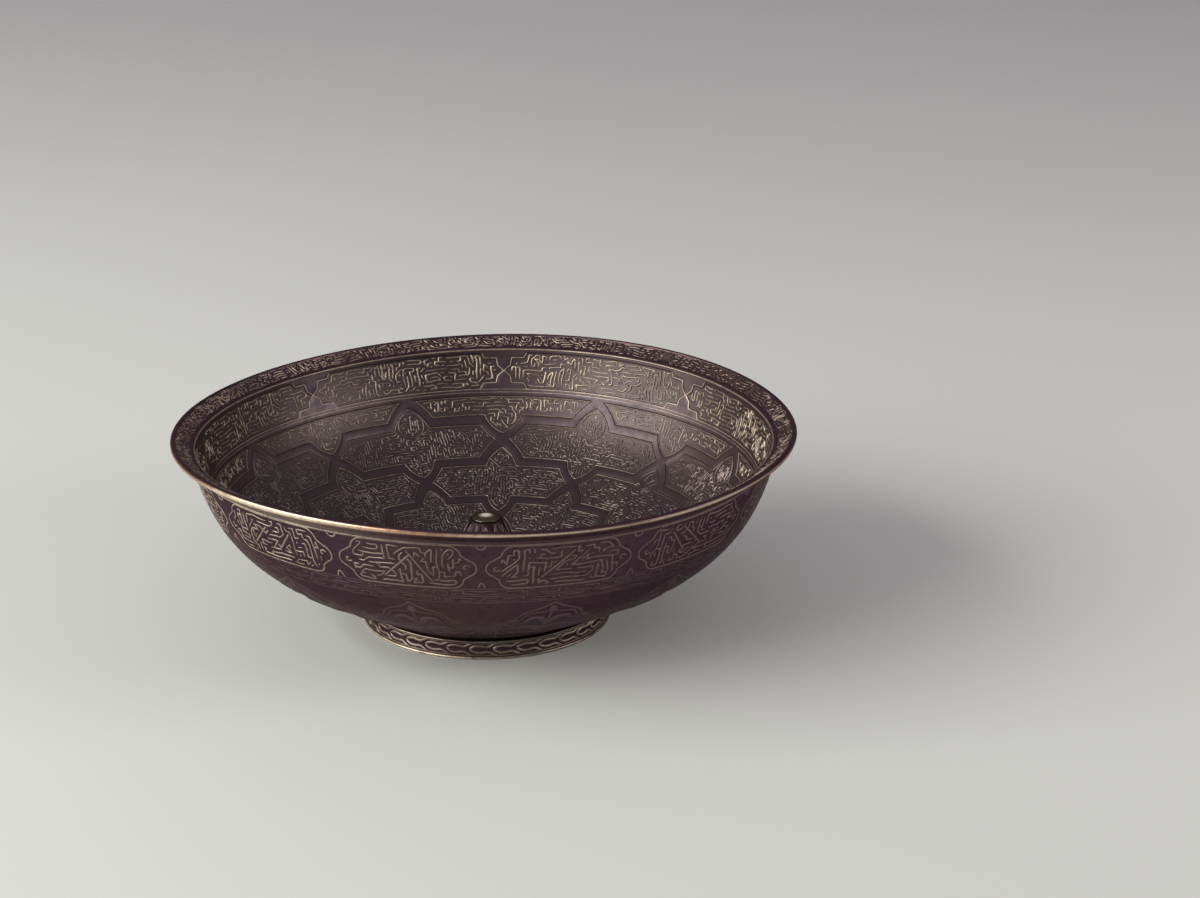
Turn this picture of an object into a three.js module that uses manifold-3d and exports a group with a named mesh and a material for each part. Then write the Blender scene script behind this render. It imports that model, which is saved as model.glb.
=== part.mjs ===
import * as THREE from "three";
import { mergeVertices } from "three/addons/utils/BufferGeometryUtils.js";
import Module from "manifold-3d";

// A footed metal bowl with a turned-out lip and a raised boss in the middle of its floor.
// All lengths are millimetres. The bowl's axis is Z, and the foot stands on z = 0.

// Raised bowl
const lipRadius = 100;
const bowlHeight = 64.6;
const lipOverhang = 6;
const lipSlope = 29;
const lipThickness = 2;
const wallThickness = 1.9;
const wallTopSlope = 76;
const wallFootSlope = 26.5;
const upperSwell = 32.9;
const lowerSwell = 36.5;
const bottomClearance = 4.7;
const bottomRise = 2.7;
const bottomFlat = 20;

// Strapwork chased inside the bowl: bands that rise between sunk fields, eight times round.
// A row of fields hangs between crossing radii, and its long sides lie at the flat radii.
const strapRepeats = 8;
const strapTurn = 63;
const strapWidth = 2.8;
const strapCrossingRadii = [87.4, 78.9, 65.7, 50, 35.5];
const strapFlatRadii = [83.4, 72.3, 57.7, 43];
const strapTipAngle = 5;
const strapShoulderAngle = 17.4;
const strapRimRadius = 88.3;
const fieldDepth = 0.35;

// Sunk cartouches in the band between the strapwork and the ledge
const cartoucheMargin = 1.2;
const cartoucheGapAngle = 3.9;
const cartoucheStepAngle = 1.4;
const cartoucheStepHeight = 3.2;

// Sunk band on top of the lip
const lipBandMargin = 1;
const lipBandDepth = 0.25;

// Foot ring
const footRadius = 40.4;
const footLipHeight = 1;
const footLipRound = 0.4;
const footWaistRadius = 39.5;
const footCoveDepth = 0.25;
const footBeadRadius = 40;
const footBeadThickness = 0.9;
const footGrooveRadius = 39;
const footGrooveHeight = 0.4;
const footWallThickness = 2.2;

// Hollow boss on the floor
const bossRadius = 25;
const bossHeight = 25.3;
const bossThickness = 1.2;
const bossNeckRadius = 5.2;
const bossCollarHeight = 1.6;
const bossShoulderPull = 10;
const bossNeckPull = 13;
const bossLobes = 12;
const bossLobeDepth = 0.6;

// Knob riveted through the top of the boss
const knobRadius = 4.7;
const knobHeight = 1.3;
const knobUndercut = 0.7;
const knobStemHeight = 0.35;
const tenonRadius = 1.6;
const tenonHeadRadius = 2.6;
const tenonHeadHeight = 0.8;
const washerRadius = 4;
const washerThickness = 0.9;

// Solder seams
const footSeamWidth = 2;
const bossSeamWidth = 1.6;

// Clearances between neighbours
const seatGap = 0.3;
const boreGap = 0.3;

// Facets round the axis
const bowlFacets = 56;
const bossFacets = 48;
const knobFacets = 24;

const degrees = Math.PI / 180;

// A smooth run of points from one end to the other, leaving and arriving at given angles.
function sweep(start, startAngle, startPull, end, endAngle, endPull, steps) {
  const first = new THREE.Vector2(...start);
  const last = new THREE.Vector2(...end);
  const leave = new THREE.Vector2(Math.cos(startAngle), Math.sin(startAngle));
  const arrive = new THREE.Vector2(Math.cos(endAngle), Math.sin(endAngle));
  const curve = new THREE.CubicBezierCurve(
    first,
    first.clone().addScaledVector(leave, startPull),
    last.clone().addScaledVector(arrive, -endPull),
    last,
  );
  return curve.getPoints(steps).map((point) => [point.x, point.y]);
}

// Points of a round, from one angle to another.
function round(centre, radius, fromAngle, toAngle, steps) {
  const points = [];
  for (let i = 0; i <= steps; i++) {
    const angle = fromAngle + ((toAngle - fromAngle) * i) / steps;
    points.push([centre[0] + radius * Math.cos(angle), centre[1] + radius * Math.sin(angle)]);
  }
  return points;
}

// The same line moved to its left by a distance.
function offset(line, distance) {
  return line.map(([r, z], i) => {
    const before = line[Math.max(i - 1, 0)];
    const after = line[Math.min(i + 1, line.length - 1)];
    const length = Math.hypot(after[0] - before[0], after[1] - before[1]);
    const left = [(before[1] - after[1]) / length, (after[0] - before[0]) / length];
    return [r + left[0] * distance, z + left[1] * distance];
  });
}

// Height of a line at a radius, for a line whose radius grows along it.
function heightAt(line, radius) {
  const found = line.findIndex((point) => point[0] >= radius);
  const high = found < 0 ? line.length - 1 : Math.max(found, 1);
  const [r0, z0] = line[high - 1];
  const [r1, z1] = line[high];
  return z0 + ((z1 - z0) * (radius - r0)) / (r1 - r0);
}

// A stretch of a line between two radii, raised by a distance.
function stretch(line, fromRadius, toRadius, raise, steps) {
  const points = [];
  for (let i = 0; i <= steps; i++) {
    const radius = fromRadius + ((toRadius - fromRadius) * i) / steps;
    points.push([radius, heightAt(line, radius) + raise]);
  }
  return points;
}

// Where two lines cross, each given by a point and an angle.
function crossing(a, angleA, b, angleB) {
  const [ax, az] = [Math.cos(angleA), Math.sin(angleA)];
  const [bx, bz] = [Math.cos(angleB), Math.sin(angleB)];
  const along = ((b[0] - a[0]) * bz - (b[1] - a[1]) * bx) / (ax * bz - az * bx);
  return [a[0] + ax * along, a[1] + az * along];
}

// Turns a section about the Z axis. The section runs anticlockwise, with the radius to the right.
function turned(section, facets) {
  const profile = section.map(([r, z]) => new THREE.Vector2(r, z));
  const geometry = new THREE.LatheGeometry(profile, facets);
  geometry.deleteAttribute("normal");
  geometry.deleteAttribute("uv");
  geometry.rotateX(Math.PI / 2);
  return mergeVertices(geometry, 1e-4);
}

function piece(name, geometry, material) {
  const mesh = new THREE.Mesh(geometry, material);
  mesh.name = name;
  return mesh;
}

// The lip is a flat band with a rounded edge, tilted by its slope.
const lipAngle = lipSlope * degrees;
const lipEdge = [lipRadius - lipThickness / 2, bowlHeight - lipThickness / 2];
const lipRound = round(lipEdge, lipThickness / 2, lipAngle - Math.PI / 2, lipAngle + Math.PI / 2, 3);
const lipUnder = lipRound[0];
const lipTop = lipRound[lipRound.length - 1];

// Outer face: from the axis over the bottom to the foot, then up the wall to the lip.
const wallFootAngle = wallFootSlope * degrees;
const wallTopAngle = wallTopSlope * degrees;
const wallFoot = [footBeadRadius, bottomClearance + bottomRise];
const wallTopRadius = lipRadius - lipOverhang;
const wallTop = [wallTopRadius, lipUnder[1] - (lipUnder[0] - wallTopRadius) * Math.tan(lipAngle)];
const bottomPull = bottomRise / Math.sin(wallFootAngle);
const bottomLine = sweep([0, bottomClearance], 0, bottomFlat, wallFoot, wallFootAngle, bottomPull, 5);
const wallLine = sweep(wallFoot, wallFootAngle, lowerSwell, wallTop, wallTopAngle, upperSwell, 10);
const outerLine = [...bottomLine, ...wallLine.slice(1)];

// Inner face: the outer one moved in by the wall, up to the ledge where the lip turns out.
const innerLine = offset(outerLine, wallThickness);
const ledge = crossing(innerLine.pop(), wallTopAngle, lipTop, lipAngle);
innerLine[0][0] = 0;

// The band sunk into the top of the lip, from its edge back to the ledge.
const lipAcross = [Math.cos(lipAngle), Math.sin(lipAngle)];
const onLip = (point, along, drop) => [
  point[0] + along * lipAcross[0] + drop * lipAcross[1],
  point[1] + along * lipAcross[1] - drop * lipAcross[0],
];
const lipBand = [
  onLip(lipTop, -lipBandMargin, 0),
  onLip(lipTop, -lipBandMargin - lipBandDepth, lipBandDepth),
  onLip(ledge, lipBandMargin + lipBandDepth, lipBandDepth),
  onLip(ledge, lipBandMargin, 0),
];

// Distance along the inner face from the axis, for a radius, and the radius for a distance.
const innerReach = innerLine.map(() => 0);
for (let i = 1; i < innerLine.length; i++) {
  const [r0, z0] = innerLine[i - 1];
  const [r1, z1] = innerLine[i];
  innerReach[i] = innerReach[i - 1] + Math.hypot(r1 - r0, z1 - z0);
}
const reachLine = innerLine.map((point, i) => [point[0], innerReach[i]]);
const radiusLine = innerLine.map((point, i) => [innerReach[i], point[0]]);

// Moves each side of a closed outline inwards by a distance. The outline runs anticlockwise.
function inset(outline, distance) {
  return outline.map((point, i) => {
    const before = outline[(i + outline.length - 1) % outline.length];
    const after = outline[(i + 1) % outline.length];
    const arrive = Math.atan2(point[1] - before[1], point[0] - before[0]);
    const leave = Math.atan2(after[1] - point[1], after[0] - point[0]);
    const lean = Math.atan2(Math.sin(leave - arrive), Math.cos(leave - arrive)) / 2;
    const inward = arrive + lean + Math.PI / 2;
    const step = distance / Math.cos(lean);
    return [point[0] + step * Math.cos(inward), point[1] + step * Math.sin(inward)];
  });
}

// A field's outline of angle and radius, given on its right half, drawn in inside its bands.
function fieldOutline(half, middleAngle) {
  const whole = [...half, ...half.slice().reverse().map(([angle, radius]) => [-angle, radius])];
  const flat = whole
    .filter(([angle], i) => angle !== 0 || i < half.length)
    .map(([angle, radius]) => [angle * degrees * radius, heightAt(reachLine, radius)]);
  return inset(flat, strapWidth / 2).map(([across, reach]) => {
    const radius = heightAt(radiusLine, reach);
    const angle = middleAngle * degrees + across / radius;
    return [radius * Math.cos(angle), radius * Math.sin(angle)];
  });
}

// A closed block over an outline, standing up through the whole bowl.
function upright(outline) {
  const shape = new THREE.Shape(outline.map(([x, y]) => new THREE.Vector2(x, y)));
  return new THREE.ExtrudeGeometry(shape, { depth: bowlHeight, bevelEnabled: false });
}

// Right half of a strapwork field from its lower tip to its upper tip, for each row from the rim down.
function strapField(row) {
  const [upper, side, lower] = strapCrossingRadii.slice(row, row + 3);
  const [high, low] = strapFlatRadii.slice(row, row + 2);
  return [
    [0, lower],
    [strapTipAngle, low],
    [strapShoulderAngle, low],
    [180 / strapRepeats, side],
    [strapShoulderAngle, high],
    [strapTipAngle, high],
    [0, upper],
  ];
}

// Right half of a field between the first row and the plain border under the cartouches.
function rimField() {
  const [tip, crossing] = strapCrossingRadii;
  const flat = strapFlatRadii[0];
  const half = 180 / strapRepeats;
  const end = half - strapTipAngle / 3;
  return [
    [0, crossing],
    [half - strapShoulderAngle, flat],
    [half - strapTipAngle, flat],
    [end, (2 * tip + flat) / 3],
    [end, strapRimRadius],
    [(end * 2) / 3, strapRimRadius],
    [end / 3, strapRimRadius],
    [0, strapRimRadius],
  ];
}

// Outlines of all strapwork fields, seen from above.
function strapOutlines() {
  const rows = strapFlatRadii.length - 1;
  const outlines = [];
  for (let k = 0; k < strapRepeats; k++) {
    const peak = strapTurn + (k * 360) / strapRepeats;
    const between = peak + 180 / strapRepeats;
    for (let row = 0; row < rows; row++) {
      outlines.push(fieldOutline(strapField(row), row % 2 ? between : peak));
    }
    outlines.push(fieldOutline(rimField(), between));
  }
  return outlines;
}

// A closed block over an outline of angle and height, running out through the wall.
function outward(outline) {
  const shape = new THREE.Shape(outline.map(([angle, z]) => new THREE.Vector2(angle * degrees, z)));
  const geometry = new THREE.ExtrudeGeometry(shape, { depth: 1, bevelEnabled: false });
  const position = geometry.getAttribute("position");
  for (let i = 0; i < position.count; i++) {
    const [angle, z, depth] = [position.getX(i), position.getY(i), position.getZ(i)];
    const radius = lipRadius * (0.8 + 0.4 * depth);
    position.setXYZ(i, radius * Math.cos(angle), radius * Math.sin(angle), z);
  }
  return geometry;
}

// Cartouches with a step at each corner, centred between the crossings.
function cartoucheOutlines() {
  const lowReach = heightAt(reachLine, strapRimRadius) + strapWidth / 2;
  const low = heightAt(innerLine, heightAt(radiusLine, lowReach));
  const high = ledge[1] - cartoucheMargin;
  const end = 180 / strapRepeats - cartoucheGapAngle;
  const shoulder = end - cartoucheStepAngle;
  const half = [
    [shoulder, low],
    [shoulder, low + cartoucheStepHeight],
    [end, low + cartoucheStepHeight],
    [end, high - cartoucheStepHeight],
    [shoulder, high - cartoucheStepHeight],
    [shoulder, high],
  ];
  const whole = [...half, ...half.slice().reverse().map(([angle, z]) => [-angle, z])];
  return Array.from({ length: strapRepeats }, (_, k) => {
    const middle = strapTurn + (k * 360) / strapRepeats;
    return whole.map(([angle, z]) => [middle + angle, z]);
  });
}

// The skin of metal on the inner face that the sunk fields take away, with some air above it.
function chasedSkin() {
  const face = [...innerLine.filter((point) => point[0] > bossRadius), ledge];
  const above = offset(face, fieldDepth);
  const below = offset(face, -fieldDepth);
  return turned([...below, ...above.reverse(), below[0]], bowlFacets);
}

// Solids for joining and cutting, and back to a mesh's geometry.
const wasm = await Module();
wasm.setup();

function solidOf(geometry) {
  const bare = new THREE.BufferGeometry().setAttribute("position", geometry.getAttribute("position"));
  if (geometry.index) bare.setIndex(geometry.index);
  const merged = mergeVertices(bare, 1e-4);
  const vertProperties = merged.getAttribute("position").array;
  const triVerts = new Uint32Array(merged.index.array);
  return new wasm.Manifold(new wasm.Mesh({ numProp: 3, vertProperties, triVerts }));
}

function geometryOf(solid) {
  const { vertProperties, triVerts } = solid.getMesh();
  const geometry = new THREE.BufferGeometry();
  geometry.setAttribute("position", new THREE.BufferAttribute(vertProperties, 3));
  geometry.setIndex(new THREE.BufferAttribute(triVerts, 1));
  return geometry;
}

function bowlBody() {
  const inside = innerLine.slice().reverse();
  const plain = turned([...outerLine, ...lipRound, ...lipBand, ledge, ...inside], bowlFacets);
  const skin = solidOf(chasedSkin());
  const blocks = [...strapOutlines().map(upright), ...cartoucheOutlines().map(outward)];
  const chased = blocks.reduce(
    (body, block) => body.subtract(solidOf(block).intersect(skin)),
    solidOf(plain),
  );
  return geometryOf(chased);
}

// The foot's band has a lip at the table, a shallow cove, a bead and a groove under the bowl.
const footInnerRadius = footWaistRadius - footWallThickness;

function footRing() {
  const beadRadius = footBeadThickness / 2;
  const beadTop = heightAt(outerLine, footGrooveRadius) - seatGap - footGrooveHeight;
  const beadCentre = [footBeadRadius - beadRadius, beadTop - beadRadius];
  const bead = round(beadCentre, beadRadius, -Math.PI / 2, Math.PI / 2, 4);
  const seat = stretch(outerLine, footInnerRadius, footGrooveRadius, -seatGap, 2).reverse();
  const coveMiddle = [footWaistRadius - footCoveDepth, (footLipHeight + bead[0][1]) / 2];
  const start = [footInnerRadius, 0];
  const section = [
    start,
    [footRadius - footLipRound, 0],
    [footRadius, footLipRound],
    [footRadius, footLipHeight - footLipRound],
    [footWaistRadius, footLipHeight],
    coveMiddle,
    ...bead,
    [footGrooveRadius, beadTop],
    ...seat,
    start,
  ];
  return turned(section, bowlFacets);
}

// Solder fills the corner between the foot's inside and the bowl's bottom.
function footSolderSeam() {
  const outer = footInnerRadius - seatGap;
  const roof = stretch(outerLine, outer - footSeamWidth, outer, -seatGap, 2).reverse();
  const [corner, , tip] = roof;
  const toe = [corner[0], corner[1] - footSeamWidth];
  const hollow = [(2 * corner[0] + tip[0]) / 3, (2 * corner[1] + toe[1]) / 3];
  return turned([toe, ...roof, hollow, toe], bowlFacets);
}

// Outer face of the boss, from its collar on the floor up the shoulder to the neck.
const floorAtBoss = heightAt(innerLine, bossRadius) + seatGap;
const bossTopHeight = floorAtBoss + bossHeight;
const collarTop = [bossRadius, floorAtBoss + bossCollarHeight];
const neckTop = [bossNeckRadius, bossTopHeight];
const shoulderAngle = 125 * degrees;
const neckAngle = 112 * degrees;
const bossLine = sweep(collarTop, shoulderAngle, bossShoulderPull, neckTop, neckAngle, bossNeckPull, 8);

// Swells the boss into lobes, deepest half way up and fading at the collar and the neck.
function lobed(geometry) {
  const position = geometry.getAttribute("position");
  for (let i = 0; i < position.count; i++) {
    const [x, y, z] = [position.getX(i), position.getY(i), position.getZ(i)];
    const climb = (z - collarTop[1]) / (bossTopHeight - bossThickness - collarTop[1]);
    const depth = bossLobeDepth * Math.sin(Math.PI * Math.min(Math.max(climb, 0), 1));
    const radius = Math.hypot(x, y);
    const bulge = (depth * Math.cos(bossLobes * Math.atan2(y, x))) / radius;
    const swell = radius > tenonRadius ? 1 + bulge : 1;
    position.setXYZ(i, x * swell, y * swell, z);
  }
  return geometry;
}

function bossDome() {
  const bore = tenonRadius + boreGap;
  const roof = bossTopHeight - bossThickness;
  const lining = offset(bossLine, bossThickness).filter((point) => point[1] < roof);
  const liningTop = [lining[lining.length - 1][0], roof];
  const foot = stretch(innerLine, bossRadius - bossThickness, bossRadius, seatGap, 1);
  const section = [
    ...foot,
    ...bossLine,
    [bore, bossTopHeight],
    [bore, roof],
    liningTop,
    ...lining.reverse(),
    foot[0],
  ];
  return lobed(turned(section, bossFacets));
}

// Solder fills the corner between the boss's collar and the floor.
function bossSolderSeam() {
  const inner = bossRadius + seatGap;
  const bed = stretch(innerLine, inner, inner + bossSeamWidth, seatGap, 2);
  const [corner, , tip] = bed;
  const top = [corner[0], corner[1] + bossSeamWidth];
  const hollow = [(2 * corner[0] + tip[0]) / 3, (2 * corner[1] + top[1]) / 3];
  return turned([...bed, hollow, top, corner], bossFacets);
}

// Knob: a flat button over an undercut stem, with a tenon through the boss whose end is hammered out.
const washerTop = bossTopHeight - bossThickness;
const washerBottom = washerTop - washerThickness;

function bossKnob() {
  const stemTop = bossTopHeight + knobStemHeight;
  const capRise = knobHeight - knobStemHeight;
  const cap = [];
  for (let i = 0; i <= 5; i++) {
    const angle = (i / 5) * (Math.PI / 2);
    cap.push([knobRadius * Math.cos(angle), stemTop + capRise * Math.sin(angle)]);
  }
  cap[cap.length - 1][0] = 0;
  const headBottom = washerBottom - tenonHeadHeight;
  const section = [
    [0, headBottom],
    [tenonHeadRadius / 2, headBottom],
    [tenonHeadRadius, washerBottom],
    [tenonRadius, washerBottom],
    [tenonRadius, bossTopHeight],
    [knobRadius - knobUndercut, bossTopHeight],
    [knobRadius - knobUndercut, stemTop - (knobStemHeight * 2) / 5],
    ...cap,
  ];
  return turned(section, knobFacets);
}

function knobWasher() {
  const bore = tenonRadius + boreGap;
  const section = [
    [bore, washerBottom],
    [washerRadius, washerBottom],
    [washerRadius, washerTop],
    [bore, washerTop],
    [bore, washerBottom],
  ];
  return turned(section, knobFacets);
}

const darkCopper = new THREE.MeshStandardMaterial({ color: 0x4a3430, roughness: 0.45, metalness: 0.8 });
const agedBrass = new THREE.MeshStandardMaterial({ color: 0x8a7a4a, roughness: 0.35, metalness: 0.9 });
const dullSolder = new THREE.MeshStandardMaterial({ color: 0x6c6862, roughness: 0.6, metalness: 0.7 });

const bowl = new THREE.Group();
bowl.add(
  piece("bowl_body", bowlBody(), darkCopper),
  piece("foot_ring", footRing(), darkCopper),
  piece("foot_solder_seam", footSolderSeam(), dullSolder),
  piece("boss_dome", bossDome(), darkCopper),
  piece("boss_solder_seam", bossSolderSeam(), dullSolder),
  piece("boss_knob", bossKnob(), agedBrass),
  piece("knob_washer", knobWasher(), agedBrass),
);

export default bowl;
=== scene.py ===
import math
import random

import bpy
import numpy as np
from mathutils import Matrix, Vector
from mathutils.geometry import delaunay_2d_cdt


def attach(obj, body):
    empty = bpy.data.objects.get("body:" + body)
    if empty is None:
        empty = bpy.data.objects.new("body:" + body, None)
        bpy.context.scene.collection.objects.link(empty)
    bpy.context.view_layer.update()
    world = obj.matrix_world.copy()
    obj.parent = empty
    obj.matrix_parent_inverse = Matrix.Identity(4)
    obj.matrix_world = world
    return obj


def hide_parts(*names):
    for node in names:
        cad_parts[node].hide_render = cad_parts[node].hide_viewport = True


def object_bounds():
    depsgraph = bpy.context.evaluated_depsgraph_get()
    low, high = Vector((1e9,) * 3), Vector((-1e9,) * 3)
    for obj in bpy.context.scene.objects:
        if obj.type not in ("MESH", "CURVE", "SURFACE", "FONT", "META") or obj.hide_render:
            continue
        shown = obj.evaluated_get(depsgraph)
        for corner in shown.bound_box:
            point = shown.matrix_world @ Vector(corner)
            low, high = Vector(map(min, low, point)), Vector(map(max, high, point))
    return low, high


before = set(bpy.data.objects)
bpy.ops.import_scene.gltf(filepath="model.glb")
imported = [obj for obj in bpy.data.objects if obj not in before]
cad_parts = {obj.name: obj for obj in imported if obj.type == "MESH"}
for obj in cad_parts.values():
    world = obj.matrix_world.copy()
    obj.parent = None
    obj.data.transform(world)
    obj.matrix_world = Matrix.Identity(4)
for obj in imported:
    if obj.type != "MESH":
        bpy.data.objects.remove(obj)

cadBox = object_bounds()
mm = 0.001          # lengths below are in millimetres until a mesh is made, but in metres in the shaders

print("frame loaded")


# Camera and room

camera = {
    "place": (0.0, -862.44, 352.95),
    "yaw": 2.458,
    "pitch": 18.996,
    "lens": 85.0,
    "sensor": 36.0,
}

room = {
    "floorSize": 9000.0,
    "floorColour": (0.68, 0.68, 0.665, 1),
    "floorShade": (0.63, 0.63, 0.62, 1),
    "worldColour": (0.61, 0.565, 0.62, 1),
    "worldStrength": 0.50,
}

lamps = [
    # name, place, aim, size, watts, colour
    ("keyLamp", (-1130, -460, 640), (0, 0, 40), (1450, 950), 29, (0.96, 0.99, 0.91)),
    ("sideLamp", (1110, -350, 570), (0, 0, 40), (680, 260), 5.0, (1.0, 1.0, 0.93)),
]


def aimAt(item, place, aim):
    away = np.array(place, float) - np.array(aim, float)
    flat = math.hypot(away[0], away[1])
    item.location = [v * mm for v in place]
    item.rotation_euler = (math.atan2(flat, away[2]), 0, math.atan2(away[0], -away[1]))


def makeCamera():
    data = bpy.data.cameras.new("photoCamera")
    data.lens = camera["lens"]
    data.sensor_width = camera["sensor"]
    data.clip_end = 50
    view = bpy.data.objects.new("photoCamera", data)
    view.location = [v * mm for v in camera["place"]]
    view.rotation_euler = (math.radians(90 - camera["pitch"]), 0, -math.radians(camera["yaw"]))
    bpy.context.collection.objects.link(view)
    bpy.context.scene.camera = view


def makeLamps():
    for name, place, aim, size, watts, colour in lamps:
        data = bpy.data.lights.new(name, "AREA")
        data.shape = "RECTANGLE"
        data.size = size[0] * mm
        data.size_y = size[1] * mm
        data.energy = watts
        data.color = colour
        lamp = bpy.data.objects.new(name, data)
        bpy.context.collection.objects.link(lamp)
        aimAt(lamp, place, aim)


# Shader maths as plain expressions

def mathOperator(operation, turned=False):
    def act(self, other):
        first, second = (other, self) if turned else (self, other)
        return self.finish.node("Math", {"operation": operation}, {0: first, 1: second})
    return act


class Tap:
    # one output socket; its operators add Math nodes to its finish
    def __init__(self, finish, socket):
        self.finish = finish
        self.socket = socket

    __add__, __radd__ = mathOperator("ADD"), mathOperator("ADD", True)
    __sub__, __rsub__ = mathOperator("SUBTRACT"), mathOperator("SUBTRACT", True)
    __mul__, __rmul__ = mathOperator("MULTIPLY"), mathOperator("MULTIPLY", True)
    __pow__, __rpow__ = mathOperator("POWER"), mathOperator("POWER", True)


class Finish:
    # a material whose nodes are made one call at a time
    def __init__(self, name):
        self.material = bpy.data.materials.new(name)
        self.material.use_nodes = True
        self.tree = self.material.node_tree
        self.tree.nodes.clear()

    def node(self, kind, settings=None, sockets=None, output=0):
        made = self.tree.nodes.new("ShaderNode" + kind)
        for key, value in (settings or {}).items():
            setattr(made, key, value)
        for key, value in (sockets or {}).items():
            if isinstance(value, Tap):
                self.tree.links.new(value.socket, made.inputs[key])
            else:
                made.inputs[key].default_value = value
        return Tap(self, made.outputs[output]) if made.outputs else None

    def place(self):
        return self.node("TexCoord", output=3)

    def axes(self):
        split = self.node("SeparateXYZ", sockets={0: self.place()}).socket.node
        return [Tap(self, output) for output in split.outputs]

    def fromAxis(self):
        x, y, _ = self.axes()
        return (x * x + y * y) ** 0.5

    def noise(self, scale, detail, rough=0.55):
        sockets = {"Vector": self.place(), "Scale": scale, "Detail": detail, "Roughness": rough}
        return self.node("TexNoise", sockets=sockets)

    def cells(self, scale):
        return self.node("TexVoronoi", sockets={"Vector": self.place(), "Scale": scale})

    def mark(self, name):
        return self.node("Attribute", {"attribute_name": name}, output=2)

    def ramp(self, value, low, high, start=0.0, end=1.0):
        sockets = {"Value": value, "From Min": low, "From Max": high, "To Min": start, "To Max": end}
        return self.node("MapRange", {"clamp": True, "interpolation_type": "SMOOTHSTEP"}, sockets)

    def blend(self, factor, first, second):
        return self.node("Mix", {"data_type": "RGBA"}, {0: factor, 6: first, 7: second}, output=2)

    def bump(self, height, strength, distance):
        sockets = {"Height": height, "Strength": strength, "Distance": distance * mm}
        return self.node("Bump", sockets=sockets)

    def finishMetal(self, colour, roughness, metallic, normal, wax=0.1):
        # the dark edge tint keeps the grime from shining where it is seen at a low angle
        sockets = {"Base Color": colour, "Roughness": roughness, "Metallic": metallic, "Normal": normal}
        sockets.update({"Specular Tint": (0.42, 0.34, 0.35, 1), "Coat Weight": wax, "Coat Roughness": 0.4})
        shader = self.node("BsdfPrincipled", sockets=sockets)
        self.node("OutputMaterial", sockets={"Surface": shader})
        return self.material


# Metal of the bowl

metals = {
    "deep": (0.018, 0.012, 0.014, 1),
    "brown": (0.073, 0.037, 0.045, 1),
    "plum": (0.059, 0.032, 0.050, 1),
    "worn": (0.19, 0.130, 0.105, 1),
    "dusty": (0.070, 0.052, 0.053, 1),
    # painted sheen of the raised leaves
    "leaf": (0.16, 0.105, 0.13, 1),
    # painted light on the lip's underside
    "paintedUnderLipLight": (0.30, 0.215, 0.165, 1),
    # worn edge colours, which also paint the highlight on the lip's edge
    "copper": (0.46, 0.25, 0.155, 1),
    "cream": (0.66, 0.53, 0.37, 1),
    "lineLow": (0.155, 0.106, 0.104, 1),
    "lineHigh": (0.58, 0.475, 0.365, 1),
    "fretLow": (0.125, 0.087, 0.092, 1),
    "fretHigh": (0.29, 0.228, 0.215, 1),
    "goldLow": (0.16, 0.112, 0.104, 1),
    "goldHigh": (0.47, 0.38, 0.29, 1),
    "lipLow": (0.19, 0.134, 0.122, 1),
    "lipHigh": (0.40, 0.305, 0.255, 1),
    "faintLow": (0.10, 0.066, 0.066, 1),
    "faintHigh": (0.15, 0.103, 0.103, 1),
    "chainLow": (0.19, 0.135, 0.125, 1),
    "chainHigh": (0.68, 0.58, 0.45, 1),
    "ground": (0.068, 0.047, 0.048, 1),
    "brass": (0.15, 0.124, 0.08, 1),
    "brassGrime": (0.08, 0.066, 0.046, 1),
    # rubbed brass and a painted highlight on the knob's crown
    "crown": (0.83, 0.75, 0.63, 1),
    "solder": (0.12, 0.10, 0.08, 1),
    "solderGrime": (0.05, 0.04, 0.035, 1),
}


def patina(f):
    # dark metal: its colour, its grain and its relief
    fine, specks = f.noise(420, 5, 0.6), f.noise(1500, 2, 0.7)
    tone = f.blend(f.ramp(f.noise(20, 3), 0.38, 0.66), metals["brown"], metals["plum"])
    tone = f.blend(f.ramp(fine, 0.48, 0.72, 0, 0.6), tone, metals["deep"])
    tone = f.blend(f.ramp(specks, 0.66, 0.8, 0, 0.3), tone, metals["worn"])
    return tone, fine, f.noise(160, 4) * 0.6 + specks * 0.25


def smoothPatina(name, over, share, wax=0.1):
    f = Finish(name)
    tone, fine, relief = patina(f)
    tone = f.blend(share, tone, metals[over])
    rough = f.ramp(fine, 0.3, 0.7, 0.39, 0.52)
    return f.finishMetal(tone, rough, 0.82, f.bump(relief, 0.22, 0.25), wax)


def shellPatina():
    # the whole shell: dark sunk ground, smooth borders, and an edge in copper and cream brass that is
    # partly worn and partly a painted highlight
    f = Finish("shellPatina")
    x = f.axes()[0]
    tone, fine, relief = patina(f)
    sunk = f.mark("sunk")
    tone = f.blend(sunk * 0.9, tone, metals["ground"])
    # the lip's edge gets a band of worn copper and cream brass that also paints its highlight; painted
    # light makes it widest on the left, and there paints the underside lighter too
    patches = f.noise(34, 4)
    paintedLeftLight = f.ramp(x + patches * 0.02, -0.06, 0.05, 1, 0.45)
    edge = f.ramp(f.mark("rim") + patches * 0.2 + paintedLeftLight * 0.3, 1.06, 1.26)
    # the painted highlight on the edge fades to half at the far left end
    edge = edge * f.ramp(x, -0.099, -0.066, 0.5, 1)
    # painted light on the underside of the lip, strong on the left and fading to the right, with less metal
    # so that it shows
    side = f.mark("under") * f.ramp(x, -0.065, -0.01, 1, 0.1)
    warm = f.blend(f.ramp(f.noise(13, 2), 0.42, 0.58), metals["copper"], metals["cream"])
    tone = f.blend(side * f.ramp(fine, 0.3, 0.6, 0.5, 0.8), tone, metals["paintedUnderLipLight"])
    tone = f.blend(edge * f.ramp(fine, 0.25, 0.6, 0.6, 0.95), tone, warm)
    rough = f.ramp(fine, 0.3, 0.7, 0.28, 0.42) + sunk * 0.13 - edge * 0.04
    normal = f.bump(relief + f.cells(1250) * sunk * 0.4, 0.28, 0.25)
    return f.finishMetal(tone, rough, 0.82 - side * 0.5, normal, sunk * 0.25 + 0.1)


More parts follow.
